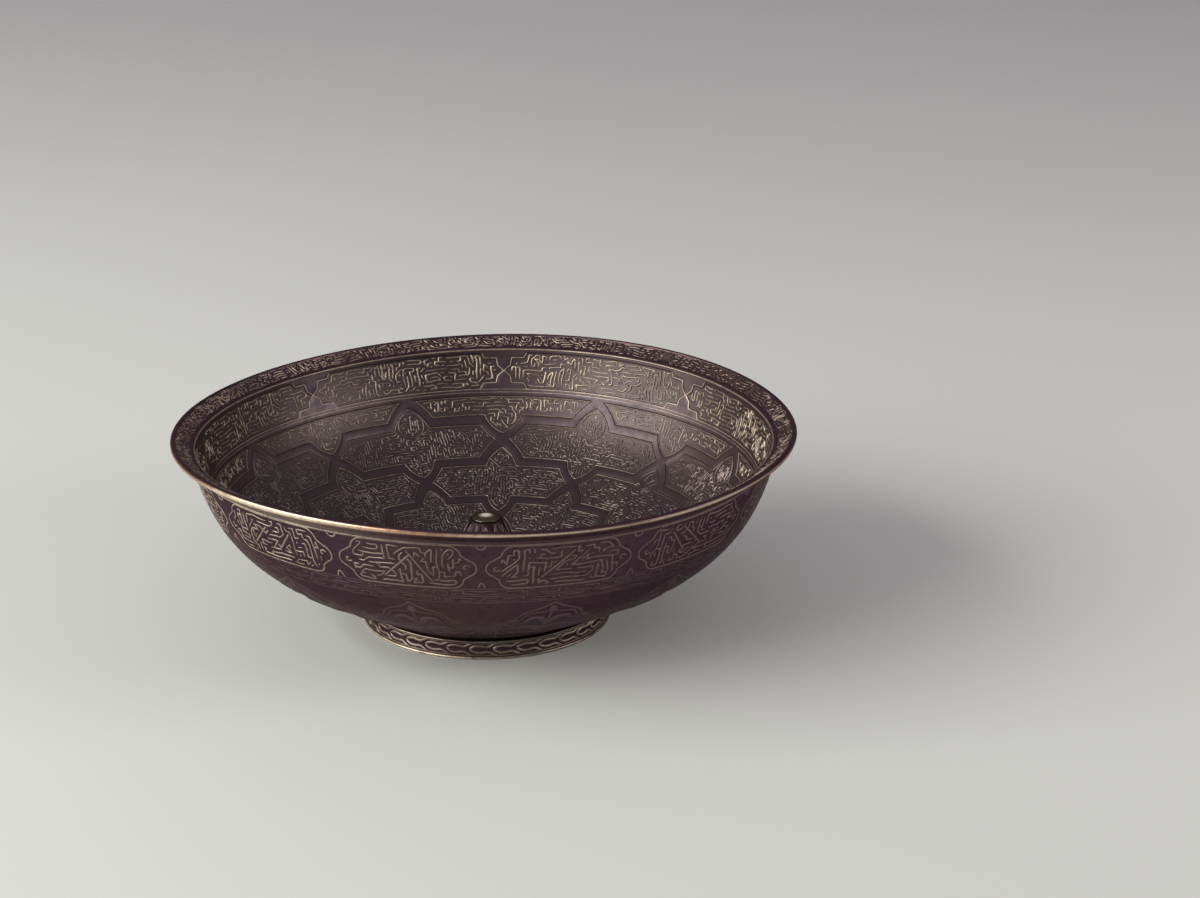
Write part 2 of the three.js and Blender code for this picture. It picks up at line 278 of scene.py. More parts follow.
def chasedMetal(name, kind, lift=6.0, wax=0.1, left=1.0, right=1.0):
    # strokes left standing by the chasing tool: rubbed paler in patches and grimy in others; paler
    # towards the lip and darker deep down, and lighter or darker on the two sides, which is painted light
    # and shade
    f = Finish(name)
    x, _, z = f.axes()
    fine = f.noise(700, 4, 0.65)
    # the height term is painted shade: the strokes darken lower down and grow paler towards the lip
    wearAndPaintedLight = f.ramp(f.noise(26, 3) + (z - 0.035) * lift, 0.36, 0.62)
    wearAndPaintedLight = wearAndPaintedLight * f.ramp(f.noise(150, 3), 0.36, 0.56, 0.5, 1) * f.ramp(fine, 0.3, 0.6, 0.5, 1)
    # painted light and shade: the left and right shares scale the paling across the bowl
    wearAndPaintedLight = wearAndPaintedLight * f.ramp(x, -0.085, 0.0, left, right)
    tone = f.blend(wearAndPaintedLight, metals[kind + "Low"], metals[kind + "High"])
    tone = f.blend(f.ramp(fine, 0.54, 0.72, 0, 0.6), tone, metals["deep"])
    rough = f.ramp(fine, 0.3, 0.7, 0.36, 0.52)
    return f.finishMetal(tone, rough, 0.82, f.bump(fine, 0.2, 0.15), wax)


def footPatina():
    f = Finish("footPatina")
    x = f.axes()[0]
    tone, fine, relief = patina(f)
    # the bead and the lip are paler where they stand out, worn and with a painted highlight, and most on
    # the left, a painted light from that side
    proudWearAndPaintedLight = f.ramp(f.fromAxis() + f.noise(60, 3) * 0.0005, 0.0400, 0.0406)
    proudWearAndPaintedLight = proudWearAndPaintedLight * f.ramp(x, -0.03, 0.02, 1, 0.4) * f.ramp(fine, 0.3, 0.6, 0.4, 1)
    tone = f.blend(proudWearAndPaintedLight, tone, metals["chainHigh"])
    rough = f.ramp(fine, 0.3, 0.7, 0.28, 0.42)
    return f.finishMetal(tone, rough, 0.86, f.bump(relief, 0.22, 0.25))


def knobBrass():
    f = Finish("knobBrass")
    fine, broad = f.noise(500, 4), f.noise(90, 3)
    tone = f.blend(f.ramp(broad, 0.4, 0.65), metals["brass"], metals["brassGrime"])
    tone = f.blend(f.ramp(fine, 0.5, 0.75, 0, 0.6), tone, metals["deep"])
    # the crown of the knob is painted bright: rubbed brass with a painted highlight
    crown = f.ramp(f.fromAxis() + broad * 0.0012, 0.0036, 0.0012)
    tone = f.blend(crown, tone, metals["crown"])
    rough = f.ramp(fine, 0.3, 0.7, 0.2, 0.34)
    return f.finishMetal(tone, rough, 0.95 - crown * 0.7, f.bump(fine, 0.12, 0.1))


def seamMetal():
    f = Finish("seamMetal")
    lumps = f.noise(300, 4)
    tone = f.blend(f.ramp(lumps, 0.4, 0.65), metals["solder"], metals["solderGrime"])
    return f.finishMetal(tone, f.ramp(lumps, 0.3, 0.7, 0.5, 0.7), 0.7, f.bump(lumps, 0.5, 0.4))


# Half sections of the bowl, as in the frame

bowl = {
    "lipRadius": (cadBox[1][0] - cadBox[0][0]) / 2 / mm,
    "height": cadBox[1][2] / mm,
    "lipOverhang": 6.0,
    "lipSlope": 29.0,
    "lipThickness": 2.0,
    "wall": 1.9,
    "wallTopSlope": 76.0,
    "wallFootSlope": 26.5,
    "upperSwell": 32.9,
    "lowerSwell": 36.5,
    "bottomClearance": 4.7,
    "bottomRise": 2.7,
    "bottomFlat": 20.0,
    "footBeadRadius": 40.0,
    "warpCos": -0.666,        # the lip isn't quite level: a slight saddle
    "warpSin": 1.199,
    "dentLift": 2.4,          # and it was bent up once more at the right front
    "dentAngle": -27.0,
    "dentTightness": 7.3,
    "bottomSteps": 60,
    "wallSteps": 160,
    "lipSteps": 23,
    "lipRoundSteps": 8,
    "columns": 320,
    "rowStep": 0.9,
}


def sweep(start, startAngle, startPull, end, endAngle, endPull, steps):
    t = np.linspace(0, 1, steps + 1)[:, None]
    p0, p3 = np.array(start, float), np.array(end, float)
    p1 = p0 + startPull * np.array([math.cos(startAngle), math.sin(startAngle)])
    p2 = p3 - endPull * np.array([math.cos(endAngle), math.sin(endAngle)])
    return (1 - t) ** 3 * p0 + 3 * (1 - t) ** 2 * t * p1 + 3 * (1 - t) * t * t * p2 + t ** 3 * p3


def arc(centre, radius, fromAngle, toAngle, steps):
    a = np.linspace(fromAngle, toAngle, steps + 1)
    return np.stack([centre[0] + radius * np.cos(a), centre[1] + radius * np.sin(a)], 1)


def leftNormals(line):
    along = np.gradient(line, axis=0)
    along /= np.linalg.norm(along, axis=1)[:, None]
    return np.stack([-along[:, 1], along[:, 0]], 1)


def lineCrossing(a, angleA, b, angleB):
    ax, az = math.cos(angleA), math.sin(angleA)
    bx, bz = math.cos(angleB), math.sin(angleB)
    along = ((b[0] - a[0]) * bz - (b[1] - a[1]) * bx) / (ax * bz - az * bx)
    return np.array([a[0] + ax * along, a[1] + az * along])


def bowlFaces():
    b = bowl
    lipAngle = math.radians(b["lipSlope"])
    half = b["lipThickness"] / 2
    edge = np.array([b["lipRadius"] - half, b["height"] - half])
    under = edge + half * np.array([math.sin(lipAngle), -math.cos(lipAngle)])
    top = edge + half * np.array([-math.sin(lipAngle), math.cos(lipAngle)])
    topRadius = b["lipRadius"] - b["lipOverhang"]
    wallTop = (topRadius, under[1] - (under[0] - topRadius) * math.tan(lipAngle))
    wallFoot = (b["footBeadRadius"], b["bottomClearance"] + b["bottomRise"])
    footAngle, topAngle = math.radians(b["wallFootSlope"]), math.radians(b["wallTopSlope"])
    pull = b["bottomRise"] / math.sin(footAngle)
    middle = (0, b["bottomClearance"])
    bottom = sweep(middle, 0, b["bottomFlat"], wallFoot, footAngle, pull, b["bottomSteps"])
    wall = sweep(wallFoot, footAngle, b["lowerSwell"], wallTop, topAngle, b["upperSwell"], b["wallSteps"])
    outer = np.vstack([bottom, wall[1:]])
    inner = outer + leftNormals(outer) * b["wall"]
    inner[0, 0] = 0
    ledge = lineCrossing(inner[-1], topAngle, top, lipAngle)
    inner = inner[inner[:, 1] < ledge[1] - 0.3]
    upperRound = arc(edge, half, lipAngle + math.pi / 2, lipAngle * 0.2, b["lipRoundSteps"])
    lowerRound = arc(edge, half, lipAngle - math.pi / 2, lipAngle * 0.2, b["lipRoundSteps"])
    across = np.linspace(0, 1, b["lipSteps"] + 1)[1:-1, None]
    return {
        "inner": np.vstack([inner, ledge, ledge + across * (top - ledge), upperRound]),
        "outer": np.vstack([outer, outer[-1] + across * (under - outer[-1]), lowerRound]),
        "ledge": ledge,
        "lipTop": top,
    }


class Skin:
    # a turned face: puts points on it from an angle, a reach along its section and a height above it
    def __init__(self, line, side=1, warped=True):
        steps = np.linalg.norm(np.diff(line, axis=0), axis=1)
        keep = np.concatenate([[True], steps > 1e-6])
        self.line = line[keep]
        steps = np.linalg.norm(np.diff(self.line, axis=0), axis=1)
        self.reach = np.concatenate([[0], np.cumsum(steps)])
        self.normal = leftNormals(self.line) * side
        self.warped = warped

    def radius(self, reach):
        return np.interp(reach, self.reach, self.line[:, 0])

    def reachOfRadius(self, radius):
        return float(np.interp(radius, self.line[:, 0], self.reach))

    def reachOfHeight(self, z):
        return float(np.interp(z, self.line[:, 1], self.reach))

    def heightOfRadius(self, radius):
        return np.interp(radius, self.line[:, 0], self.line[:, 1])

    def place(self, angle, reach, height):
        r = self.radius(reach) + np.interp(reach, self.reach, self.normal[:, 0]) * height
        z = np.interp(reach, self.reach, self.line[:, 1])
        z = z + np.interp(reach, self.reach, self.normal[:, 1]) * height
        if self.warped:
            z = z + saddle(angle, z)
        return np.stack([r * np.cos(angle), r * np.sin(angle), z], -1)


def saddle(angle, z):
    share = (z / bowl["height"]) ** 2
    warp = bowl["warpCos"] * np.cos(2 * angle) + bowl["warpSin"] * np.sin(2 * angle)
    away = 1 - np.cos(angle - math.radians(bowl["dentAngle"]))
    return share * (warp + share * bowl["dentLift"] * np.exp(-bowl["dentTightness"] * away))


def makeObject(name, points, faces, material, crease=None):
    mesh = bpy.data.meshes.new(name)
    mesh.from_pydata((np.asarray(points) * mm).tolist(), [], [list(map(int, face)) for face in faces])
    mesh.validate()
    mesh.shade_smooth()
    if crease:
        mesh.set_sharp_from_angle(angle=math.radians(crease))
    made = bpy.data.objects.new(name, mesh)
    bpy.context.collection.objects.link(made)
    mesh.materials.append(material)
    return made


def dress(made, slotName, *nodes):
    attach(made, "root")
    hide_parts(*nodes)


def turnedMesh(rings, columns, closed=False):
    # rings is a list of (columns, 3) arrays; a ring of radius 0 becomes one point
    points, index = [], []
    count = 0
    for ring in rings:
        if np.allclose(ring[:, :2], 0, atol=1e-6):
            points.append(ring[:1])
            index.append([count] * columns)
            count += 1
        else:
            points.append(ring)
            index.append(list(range(count, count + columns)))
            count += columns
    pairs = list(zip(index[:-1], index[1:]))
    if closed:
        pairs.append((index[-1], index[0]))
    faces = []
    for low, high in pairs:
        for i in range(columns):
            j = (i + 1) % columns
            corners = [low[i], low[j], high[j], high[i]]
            face = [c for k, c in enumerate(corners) if c != corners[k - 1]]
            if len(face) > 2:
                faces.append(face)
    return np.vstack(points), faces


# Raised strips on a skin

class Tracery:
    # gathers strips drawn in angle and reach, and makes one mesh of them
    def __init__(self, skin):
        self.skin = skin
        self.places = []
        self.faces = []
        self.count = 0

    def add(self, places, faces):
        self.places.append(np.asarray(places, float))
        self.faces += [[self.count + corner for corner in face] for face in faces]
        self.count += len(places)

    def across(self, path, closed):
        # direction across the strip at each point, in millimetres, mitred at the bends
        radius = self.skin.radius(path[:, 1])
        if closed:
            path = np.vstack([path, path[:1]])
            radius = np.append(radius, radius[0])
        steps = np.diff(path, axis=0)
        steps[:, 0] = np.arctan2(np.sin(steps[:, 0]), np.cos(steps[:, 0]))
        steps[:, 0] *= (radius[1:] + radius[:-1]) / 2
        steps /= np.maximum(np.linalg.norm(steps, axis=1), 1e-9)[:, None]
        side = np.stack([-steps[:, 1], steps[:, 0]], 1)
        if closed:
            before, after = np.roll(side, 1, axis=0), side
        else:
            before = np.vstack([side[:1], side])
            after = np.vstack([side, side[-1:]])
        lean = np.maximum(1 + (before * after).sum(1), 0.5)
        return (before + after) / lean[:, None]

    def line(self, path, width, top, foot=-0.03, closed=False, bevel=0.12, crown=0.05, widths=None):
        # a strip with a crown and bevelled sides, whose open ends run down
        across = self.across(path, closed)
        half = width / 2
        offsets = np.array([-half - bevel, -half, 0, half, half + bevel])
        shift = offsets * (np.ones(len(path)) if widths is None else widths)[:, None]
        angle = path[:, :1] + shift * across[:, :1] / self.skin.radius(path[:, 1])[:, None]
        reach = path[:, 1:] + shift * across[:, 1:]
        height = np.tile([foot, top - crown, top, top - crown, foot], (len(path), 1))
        if not closed:
            height[[0, -1]] = foot + 0.35 * (height[[0, -1]] - foot)
        rows, columns = angle.shape
        faces = []
        for i in range(rows if closed else rows - 1):
            here, there = i * columns, ((i + 1) % rows) * columns
            faces += [(here + j, there + j, there + j + 1, here + j + 1) for j in range(columns - 1)]
        self.add(np.stack([angle.ravel(), reach.ravel(), height.ravel()], 1), faces)

    def ring(self, reach, width, top, foot=-0.03):
        angle = np.linspace(0, 2 * math.pi, 361)[:-1]
        self.line(np.stack([angle, np.full(360, reach)], 1), width, top, foot, closed=True)

    def dot(self, angle, reach, size, top, foot):
        turn = np.linspace(0, 2 * math.pi, 8)[:-1]
        radius = float(self.skin.radius(reach))
        places = [(angle, reach, top)]
        for share, height in ((0.6, top - 0.03), (1.0, foot)):
            places += [
                (angle + share * size * math.cos(a) / radius, reach + share * size * math.sin(a), height)
                for a in turn
            ]
        faces = []
        for i in range(7):
            j = (i + 1) % 7
            faces.append((0, 1 + i, 1 + j))
            faces.append((1 + i, 8 + i, 8 + j, 1 + j))
        self.add(places, faces)

    def build(self, name, material, slotName="patinated_bowl_metal", node="bowl_body"):
        places = np.vstack(self.places)
        dress(makeObject(name, self.skin.place(*places.T), self.faces, material), slotName, node)


def rounded(path, times=1):
    # cuts the corners of an open line
    path = np.asarray(path, float)
    for _ in range(times if len(path) > 2 else 0):
        early = path[:-1] * 0.75 + path[1:] * 0.25
        late = path[:-1] * 0.25 + path[1:] * 0.75
        inner = np.stack([early, late], 1).reshape(-1, 2)[1:-1]
        path = np.vstack([path[:1], inner, path[-1:]])
    return path


def divided(path, step=1.4, closed=False):
    # adds points so that no stretch is longer than a step
    path = np.asarray(path, float)
    ends = np.vstack([path[1:], path[:1]]) if closed else path[1:]
    pieces = []
    for a, b in zip(path, ends):
        count = max(1, int(math.ceil(np.linalg.norm(b - a) / step)))
        pieces.append(a + (b - a) * (np.arange(count) / count)[:, None])
    return np.vstack(pieces if closed else pieces + [path[-1:]])


def insideOutline(outline, points):
    x, y = points[:, 0], points[:, 1]
    inside = np.zeros(len(points), bool)
    for (x0, y0), (x1, y1) in zip(outline, np.roll(outline, -1, axis=0)):
        if y1 != y0:
            crosses = (y0 > y) != (y1 > y)
            inside ^= crosses & (x < (x1 - x0) * (y - y0) / (y1 - y0) + x0)
    return inside


def drawnIn(outline, distance):
    # moves each side of an anticlockwise outline inwards
    outline = np.asarray(outline, float)
    arrive = outline - np.roll(outline, 1, axis=0)
    leave = np.roll(outline, -1, axis=0) - outline
    arrive = np.arctan2(arrive[:, 1], arrive[:, 0])
    leave = np.arctan2(leave[:, 1], leave[:, 0])
    lean = np.arctan2(np.sin(leave - arrive), np.cos(leave - arrive)) / 2
    inward = arrive + lean + math.pi / 2
    step = distance / np.maximum(np.cos(lean), 0.35)
    return outline + np.stack([step * np.cos(inward), step * np.sin(inward)], 1)


def mirrored(right):
    # a whole outline from its right half, which runs from its lowest point to its highest
    right = np.asarray(right, float)
    left = right[::-1] * np.array([-1, 1])
    return np.vstack([right, left[np.abs(left[:, 0]) > 1e-6]])


def circle(centre, radius):
    return arc(centre, radius, 0, 2 * math.pi, 24)[:-1]


def spiral(centre, radius, turns, start, hand=1):
    t = np.linspace(0, 1, 20)
    r = radius * (0.15 + 0.85 * t)
    a = start + hand * turns * 2 * math.pi * (1 - t)
    return np.stack([centre[0] + r * np.cos(a), centre[1] + r * np.sin(a)], 1)


def fromFlat(skin, path, middleAngle):
    # from millimetres across and along the section to angle and reach
    return np.stack([middleAngle + path[:, 0] / skin.radius(path[:, 1]), path[:, 1]], 1)


# Abstract fretwork that fills the fields: bars, combs and hooks on a hidden grid, which never cross

def fretwork(rng, outline, look, kept=()):
    pitch = look["pitch"]
    low, high = outline.min(0), outline.max(0)
    nx = max(1, int((high[0] - low[0]) / pitch))
    ny = max(1, int((high[1] - low[1]) / pitch))
    xs = (low[0] + high[0]) / 2 + (np.arange(nx + 1) - nx / 2) * pitch
    ys = (low[1] + high[1]) / 2 + (np.arange(ny + 1) - ny / 2) * pitch
    grid = np.stack(np.meshgrid(xs, ys, indexing="ij"), -1)
    flat = grid.reshape(-1, 2)
    free = insideOutline(outline, flat)
    for shape in kept:
        free &= ~insideOutline(shape, flat)
    free = free.reshape(nx + 1, ny + 1)
    order = [(i, j) for i in range(nx + 1) for j in range(ny + 1) if free[i, j]]
    rng.shuffle(order)
    phases = [rng.uniform(0, 6.28) for _ in range(4)]
    sway = look["sway"] * pitch
    moved = grid.copy()
    moved[..., 0] += sway * np.sin(grid[..., 1] * 0.8 + grid[..., 0] * 0.2 + phases[0])
    moved[..., 1] += sway * np.sin(grid[..., 0] * 0.6 + phases[1])
    for cell in order:
        moved[cell] += [rng.uniform(-look["jitter"], look["jitter"]) * pitch for _ in range(2)]
    owner, slants = {}, set()

    def weight(i, j, step):
        if step[0] and step[1]:
            return look["slant"] * (1.0 if step[0] == step[1] else 0.3)
        row, level = divmod(j, look["rowCells"])
        zone = math.sin(i * 0.5 + phases[2] + row * 2.1) + math.sin(i * 0.21 + phases[3])
        if zone > look["calm"]:
            return 0.3 if step[1] == 0 else 5.0
        if zone < look["calm"] - 0.9 or level < look["rowCells"] * 0.4:
            return 5.0 if step[1] == 0 else 0.4
        return 1.2

    def stepsFrom(cell, slanted=True):
        for step in ((1, 0), (-1, 0), (0, 1), (0, -1), (1, 1), (-1, -1), (1, -1), (-1, 1)):
            place = (cell[0] + step[0], cell[1] + step[1])
            crossing = frozenset(((place[0], cell[1]), (cell[0], place[1])))
            if (step[0] and step[1]) and (crossing in slants or not slanted):
                continue
            if 0 <= place[0] <= nx and 0 <= place[1] <= ny:
                yield step, place

    strokes, dots = [], []
    early = int(len(order) * look["longShare"])
    for turn, start in enumerate(order[:early] + order):
        if not free[start]:
            continue
        free[start] = False
        path, direction = [start], None
        length = rng.choice(look["long"] if turn < early else look["lengths"])
        while len(path) < length:
            options = [(step, place) for step, place in stepsFrom(path[-1]) if free[place]]
            if not options:
                break
            weights = [
                weight(*path[-1], step) * (look["straight"] if step == direction else 1)
                for step, place in options
            ]
            direction, place = rng.choices(options, weights)[0]
            if direction[0] and direction[1]:
                slants.add(frozenset((path[-1], place)))
            path.append(place)
            free[place] = False
        # some strokes spring from a neighbour, so that bars carry combs
        near = [place for step, place in stepsFrom(start, slanted=False)]
        joined = [place for place in near if owner.get(place, start) != start]
        if len(path) > 1 and joined and rng.random() < look["branch"]:
            path.insert(0, rng.choice(joined))
        if len(path) > 1:
            strokes.append(np.array([moved[cell] for cell in path]))
            owner.update({cell: start for cell in path[1:]})
        elif rng.random() < look["dots"]:
            dots.append(moved[start])
    return strokes, dots


def ticked(rng, stroke, look):
    # an upright stroke may get a small slanting head
    stroke = stroke if stroke[0, 1] < stroke[-1, 1] else stroke[::-1]
    last = stroke[-1] - stroke[-2]
    if last[1] > 2 * abs(last[0]) and rng.random() < look["ticks"]:
        tip = stroke[-1] + np.array([rng.choice((-1, 1)) * 0.42, -0.34]) * look["pitch"]
        stroke = np.vstack([stroke[:-1], stroke[-1] + last * 0.2, tip])
    return stroke


def strokeWidths(path, thin=0.8, thick=1.2, lean=0.6):
    # a stroke swells and thins with its direction, and tapers at its ends
    steps = np.gradient(path, axis=0)
    angle = np.arctan2(steps[:, 1], steps[:, 0])
    widths = thin + (thick - thin) * np.abs(np.sin(angle - lean))
    widths[0] *= 0.6
    widths[-1] *= 0.6
    return widths


def fillField(tracery, rng, outline, middleAngle, look, kept=()):
    strokes, dots = fretwork(rng, outline, look, kept)
    for stroke in strokes:
        corners = 1 if rng.random() < look["rounding"] else 0
        path = divided(rounded(ticked(rng, stroke, look), corners))
        top = look["top"] - rng.uniform(0, look["topSpread"])
        widths = strokeWidths(path) * rng.uniform(*look["widthSpread"])
        path = fromFlat(tracery.skin, path, middleAngle)
        tracery.line(path, look["width"], top, look["foot"], bevel=look["bevel"], widths=widths)
    for spot in dots:
        angle, reach = fromFlat(tracery.skin, np.array([spot]), middleAngle)[0]
        tracery.dot(angle, reach, look["width"] * look["dotSize"], look["top"], look["foot"])


def fillRound(tracery, rng, low, high, margin, look):
    # a band all round the skin, filled one sector after another
    sectors = 24
    half = math.pi / sectors * float(tracery.skin.radius((low + high) / 2))
    low, high = low + margin, high - margin
    outline = np.array([(-half, low), (half, low), (half, high), (-half, high)])
    for k in range(sectors):
        fillField(tracery, rng, outline, 2 * math.pi * k / sectors, look)


# Star strapwork inside the bowl

strapwork = {
    "repeats": 8,
    "turn": 63.0,
    "width": 2.8,
    "crossingRadii": (87.4, 78.9, 65.7, 50.0, 35.5),
    "flatRadii": (83.4, 72.3, 57.7, 43.0),
    "tipAngle": 5.0,
    "shoulderAngle": 17.4,
    "rimRadius": 88.0,
    "rimOverlap": 0.9,        # degrees that a rim field's corner passes the star tip below it
    "floorRadius": 30.5,
    "depth": 0.32,
    "bulge": 0.95,            # tips beside a crossing swell into pointed arches
    "hollow": 0.35,           # and the ends of their neighbours give way
    "edge": 0.2,
    "groove": 0.42,
    "outlineWidth": 0.2,
    "outlineTop": -0.08,
    "fillGap": 0.62,
    "floorLineGap": 0.6,
    "floorLineWidth": 0.3,
    "floorLineTop": 0.07,
}

plate = {
    "floorMargin": 1.5,       # what it has beyond the fields and the cartouches
    "lipMargin": 0.5,
    "ringPoints": 360,
    "spacing": 2.2,           # between the loose points that keep its triangles small
    "guard": 0.9,             # how far these stay from a hole
    "bevelTop": -0.05,
    "crease": 32,
}

fieldFill = {
    "pitch": 1.0,             # of the hidden grid
    "jitter": 0.08,           # of the grid's points, and their sway in waves, as shares of the pitch
    "sway": 0.16,
    "rowCells": 5,            # height of a row of strokes
    "lengths": (2, 3, 4, 5),
    "long": (5, 6, 7, 8),     # lengths of the strokes that are drawn first
    "longShare": 0.12,
    "calm": 0.35,             # the higher, the fewer places where upright strokes prevail
    "dots": 0.8,
    "dotSize": 0.9,
    "branch": 0.45,
    "slant": 0.5,
    "straight": 4,
    "ticks": 0.35,
    "rounding": 0.45,
    "width": 0.30,
    "widthSpread": (0.7, 1.2),
    "bevel": 0.10,
    "top": -0.03,
    "topSpread": 0.06,
    "foot": -0.34,
}


def bulged(start, end, amount):
    # a slightly bowed line between two corners of an anticlockwise outline
    start, end = np.array(start), np.array(end)
    along = end - start
    out = np.array([along[1], -along[0]]) / np.linalg.norm(along)
    t = np.linspace(0, 1, 7)[:, None]
    return start + along * t + out * amount * 4 * t * (1 - t)


def strapMiddles(shift=0.0):
    s = strapwork
    return [math.radians(s["turn"] + (k + shift) * 360 / s["repeats"]) for k in range(s["repeats"])]


def strapFields(skin):
    # each field's outline in flat millimetres, its middle angle and its row
    s = strapwork
    half = 180 / s["repeats"]
    tip, shoulder = s["tipAngle"], s["shoulderAngle"]
    crossings, flats = s["crossingRadii"], s["flatRadii"]
    swell, hollow = s["bulge"], s["hollow"]
    rows = []
    for row in range(3):
        right = [
            (0, crossings[row + 2]), (tip, flats[row + 1]), (shoulder, flats[row + 1]),
            (half, crossings[row + 1]), (shoulder, flats[row]), (tip, flats[row]), (0, crossings[row]),
        ]
        rows.append((right, row % 2, (swell, 0, -hollow, -hollow, 0, swell)))
    wide = half + s["rimOverlap"]
    right = [(0, crossings[1]), (half - shoulder, flats[0]), (half - tip, flats[0])]
    right += [(wide * k / 4, s["rimRadius"]) for k in (4, 3, 2, 1, 0)]
    rows.append((right, 1, (swell, 0, -hollow, 0, 0, 0, 0)))
    end = half - tip / 3
    lowTip = (2 * crossings[-1] + flats[-1]) / 3
    right = [(end * k / 4, s["floorRadius"]) for k in (0, 1, 2, 3, 4)]
    right += [(end, lowTip), (half - tip, flats[-1]), (half - shoulder, flats[-1]), (0, crossings[-2])]
    rows.append((right, 1, (0, 0, 0, 0, 0, -hollow, 0, swell)))
    fields = []
    for number, (right, shifted, bows) in enumerate(rows):
        flat = [(math.radians(angle) * radius, skin.reachOfRadius(radius)) for angle, radius in right]
        right = drawnIn(mirrored(flat), s["width"] / 2)[:len(right)]
        outline = [bulged(a, b, bow)[:-1] if bow else [a] for a, b, bow in zip(right, right[1:], bows)]
        outline = divided(mirrored(np.vstack(outline + [right[-1:]])), closed=True)
        fields += [(outline, middle, number) for middle in strapMiddles(shifted / 2)]
    return fields


def turnsLeft(corners):
    after = np.roll(corners, -1, axis=0)
    return (corners[:, 0] * after[:, 1] - corners[:, 1] * after[:, 0]).sum() > 0


def plateEnds(skin):
    # between these reaches the ground is sunk and the plate covers it
    low = skin.reachOfRadius(strapwork["floorRadius"]) - plate["floorMargin"]
    return low, cartoucheBand["high"] + plate["lipMargin"]


def pierced(skin, holes, low, high, depth, edge):
    # a thin plate on the skin between two reaches, with holes whose bevelled sides run down to the ground
    def plane(places):
        return np.stack([places[:, 1] * np.cos(places[:, 0]), places[:, 1] * np.sin(places[:, 0])], 1)

    turns = np.linspace(0, 2 * math.pi, plate["ringPoints"] + 1)[:-1]
    loops = [np.stack([turns, np.full(len(turns), reach)], 1) for reach in (low, high)]
    rims, guards, sides = [], [], []
    for outline, middle in holes:
        rim = fromFlat(skin, drawnIn(outline, -edge), middle)
        rims.append(plane(rim))
        guards.append(plane(fromFlat(skin, drawnIn(outline, -edge - plate["guard"]), middle)))
        sides.append((fromFlat(skin, outline, middle), fromFlat(skin, drawnIn(outline, edge), middle)))
        loops.append(rim)
    links, count = [], 0
    for loop in loops:
        links += [(count + i, count + (i + 1) % len(loop)) for i in range(len(loop))]
        count += len(loop)
    spacing = plate["spacing"]
    spread = np.array([
        (k * spacing / reach, reach)
        for reach in np.arange(low + 1.2, high - 1, spacing)
        for k in range(int(2 * math.pi * reach / spacing))
    ])
    covered = np.zeros(len(spread), bool)
    for guard in guards:
        covered |= insideOutline(guard, plane(spread))
    places = np.vstack(loops + [spread[~covered]])
    flat = plane(places)
    made = delaunay_2d_cdt([Vector(point) for point in flat.tolist()], links, [], 0, 1e-6)
    corners = np.array([origins[0] for origins in made[3]])
    triangles = np.array([[corners[i] for i in face] for face in made[2]])
    centres = flat[triangles].mean(1)
    reach = np.linalg.norm(centres, axis=1)
    keep = (reach > low * 0.9999) & (reach < high)
    for rim in rims:
        keep &= ~insideOutline(rim, centres)
    faces = triangles[keep].tolist()
    places = np.column_stack([places, np.zeros(len(places))])
    extra, start = [], len(places)
    first = 2 * len(turns)
    for edgeLine, footLine in sides:
        size = len(edgeLine)
        extra.append(np.column_stack([edgeLine, np.full(size, plate["bevelTop"])]))
        extra.append(np.column_stack([footLine, np.full(size, -depth)]))
        for i in range(size):
            j = (i + 1) % size
            faces.append([first + i, first + j, start + j, start + i])
            faces.append([start + i, start + j, start + size + j, start + size + i])
        start += 2 * size
        first += size
    places = np.vstack([places] + extra)
    flat = plane(places)
    return places, [face if turnsLeft(flat[face]) else face[::-1] for face in faces]


# Band of cartouches under the ledge, and the band on the lip

cartoucheBand = {
    "low": 103.75,
    "high": 116.6,
    # corners of the right end, from the bottom up: distance from the gap's middle, share of the height
    "end": ((8.2, 0.0), (7.1, 0.165), (2.6, 0.18), (2.2, 0.355), (0.0, 0.5),
            (2.2, 0.645), (2.7, 0.84), (7.0, 0.85), (8.0, 1.0)),
    "lineWidth": 0.24,
    "lineTop": 0.05,
    "borderLines": (103.75, 102.75),
    "borderWidth": 0.22,
    "holeGap": 0.3,
    "fillGap": 1.05,
}

cartoucheFill = dict(
    fieldFill, pitch=1.3, calm=0.4, width=0.38, lengths=(2, 3, 4, 5, 6), long=(6, 7, 8, 10), longShare=0.15,
    top=0.0, branch=0.55, straight=6, dots=1.0,
)

rimFill = dict(fieldFill, pitch=1.25, width=0.37, rowCells=4, calm=0.1, long=(5, 6, 7, 9), straight=5)

lipBand = {
    "inner": 1.8,
    "outer": 0.4,
    "depth": 0.26,
    "fillGap": 0.2,
    "sunkGap": 0.3,
    "ledgeWidth": 0.6,
    "ledgeTop": 0.10,
    "ledgeFoot": -0.1,
}

lipFill = dict(fieldFill, pitch=1.1, calm=0.6, width=0.32, top=-0.02, foot=-0.27, sway=0.3, slant=1.0)


def cartoucheOutline(skin):
    c = cartoucheBand
    step = math.pi / strapwork["repeats"]
    right = [(0, c["low"])]
    for away, share in c["end"]:
        reach = c["low"] + share * (c["high"] - c["low"])
        right.append((step * float(skin.radius(reach)) - away, reach))
    right.append((0, c["high"]))
    return divided(mirrored(right), closed=True)


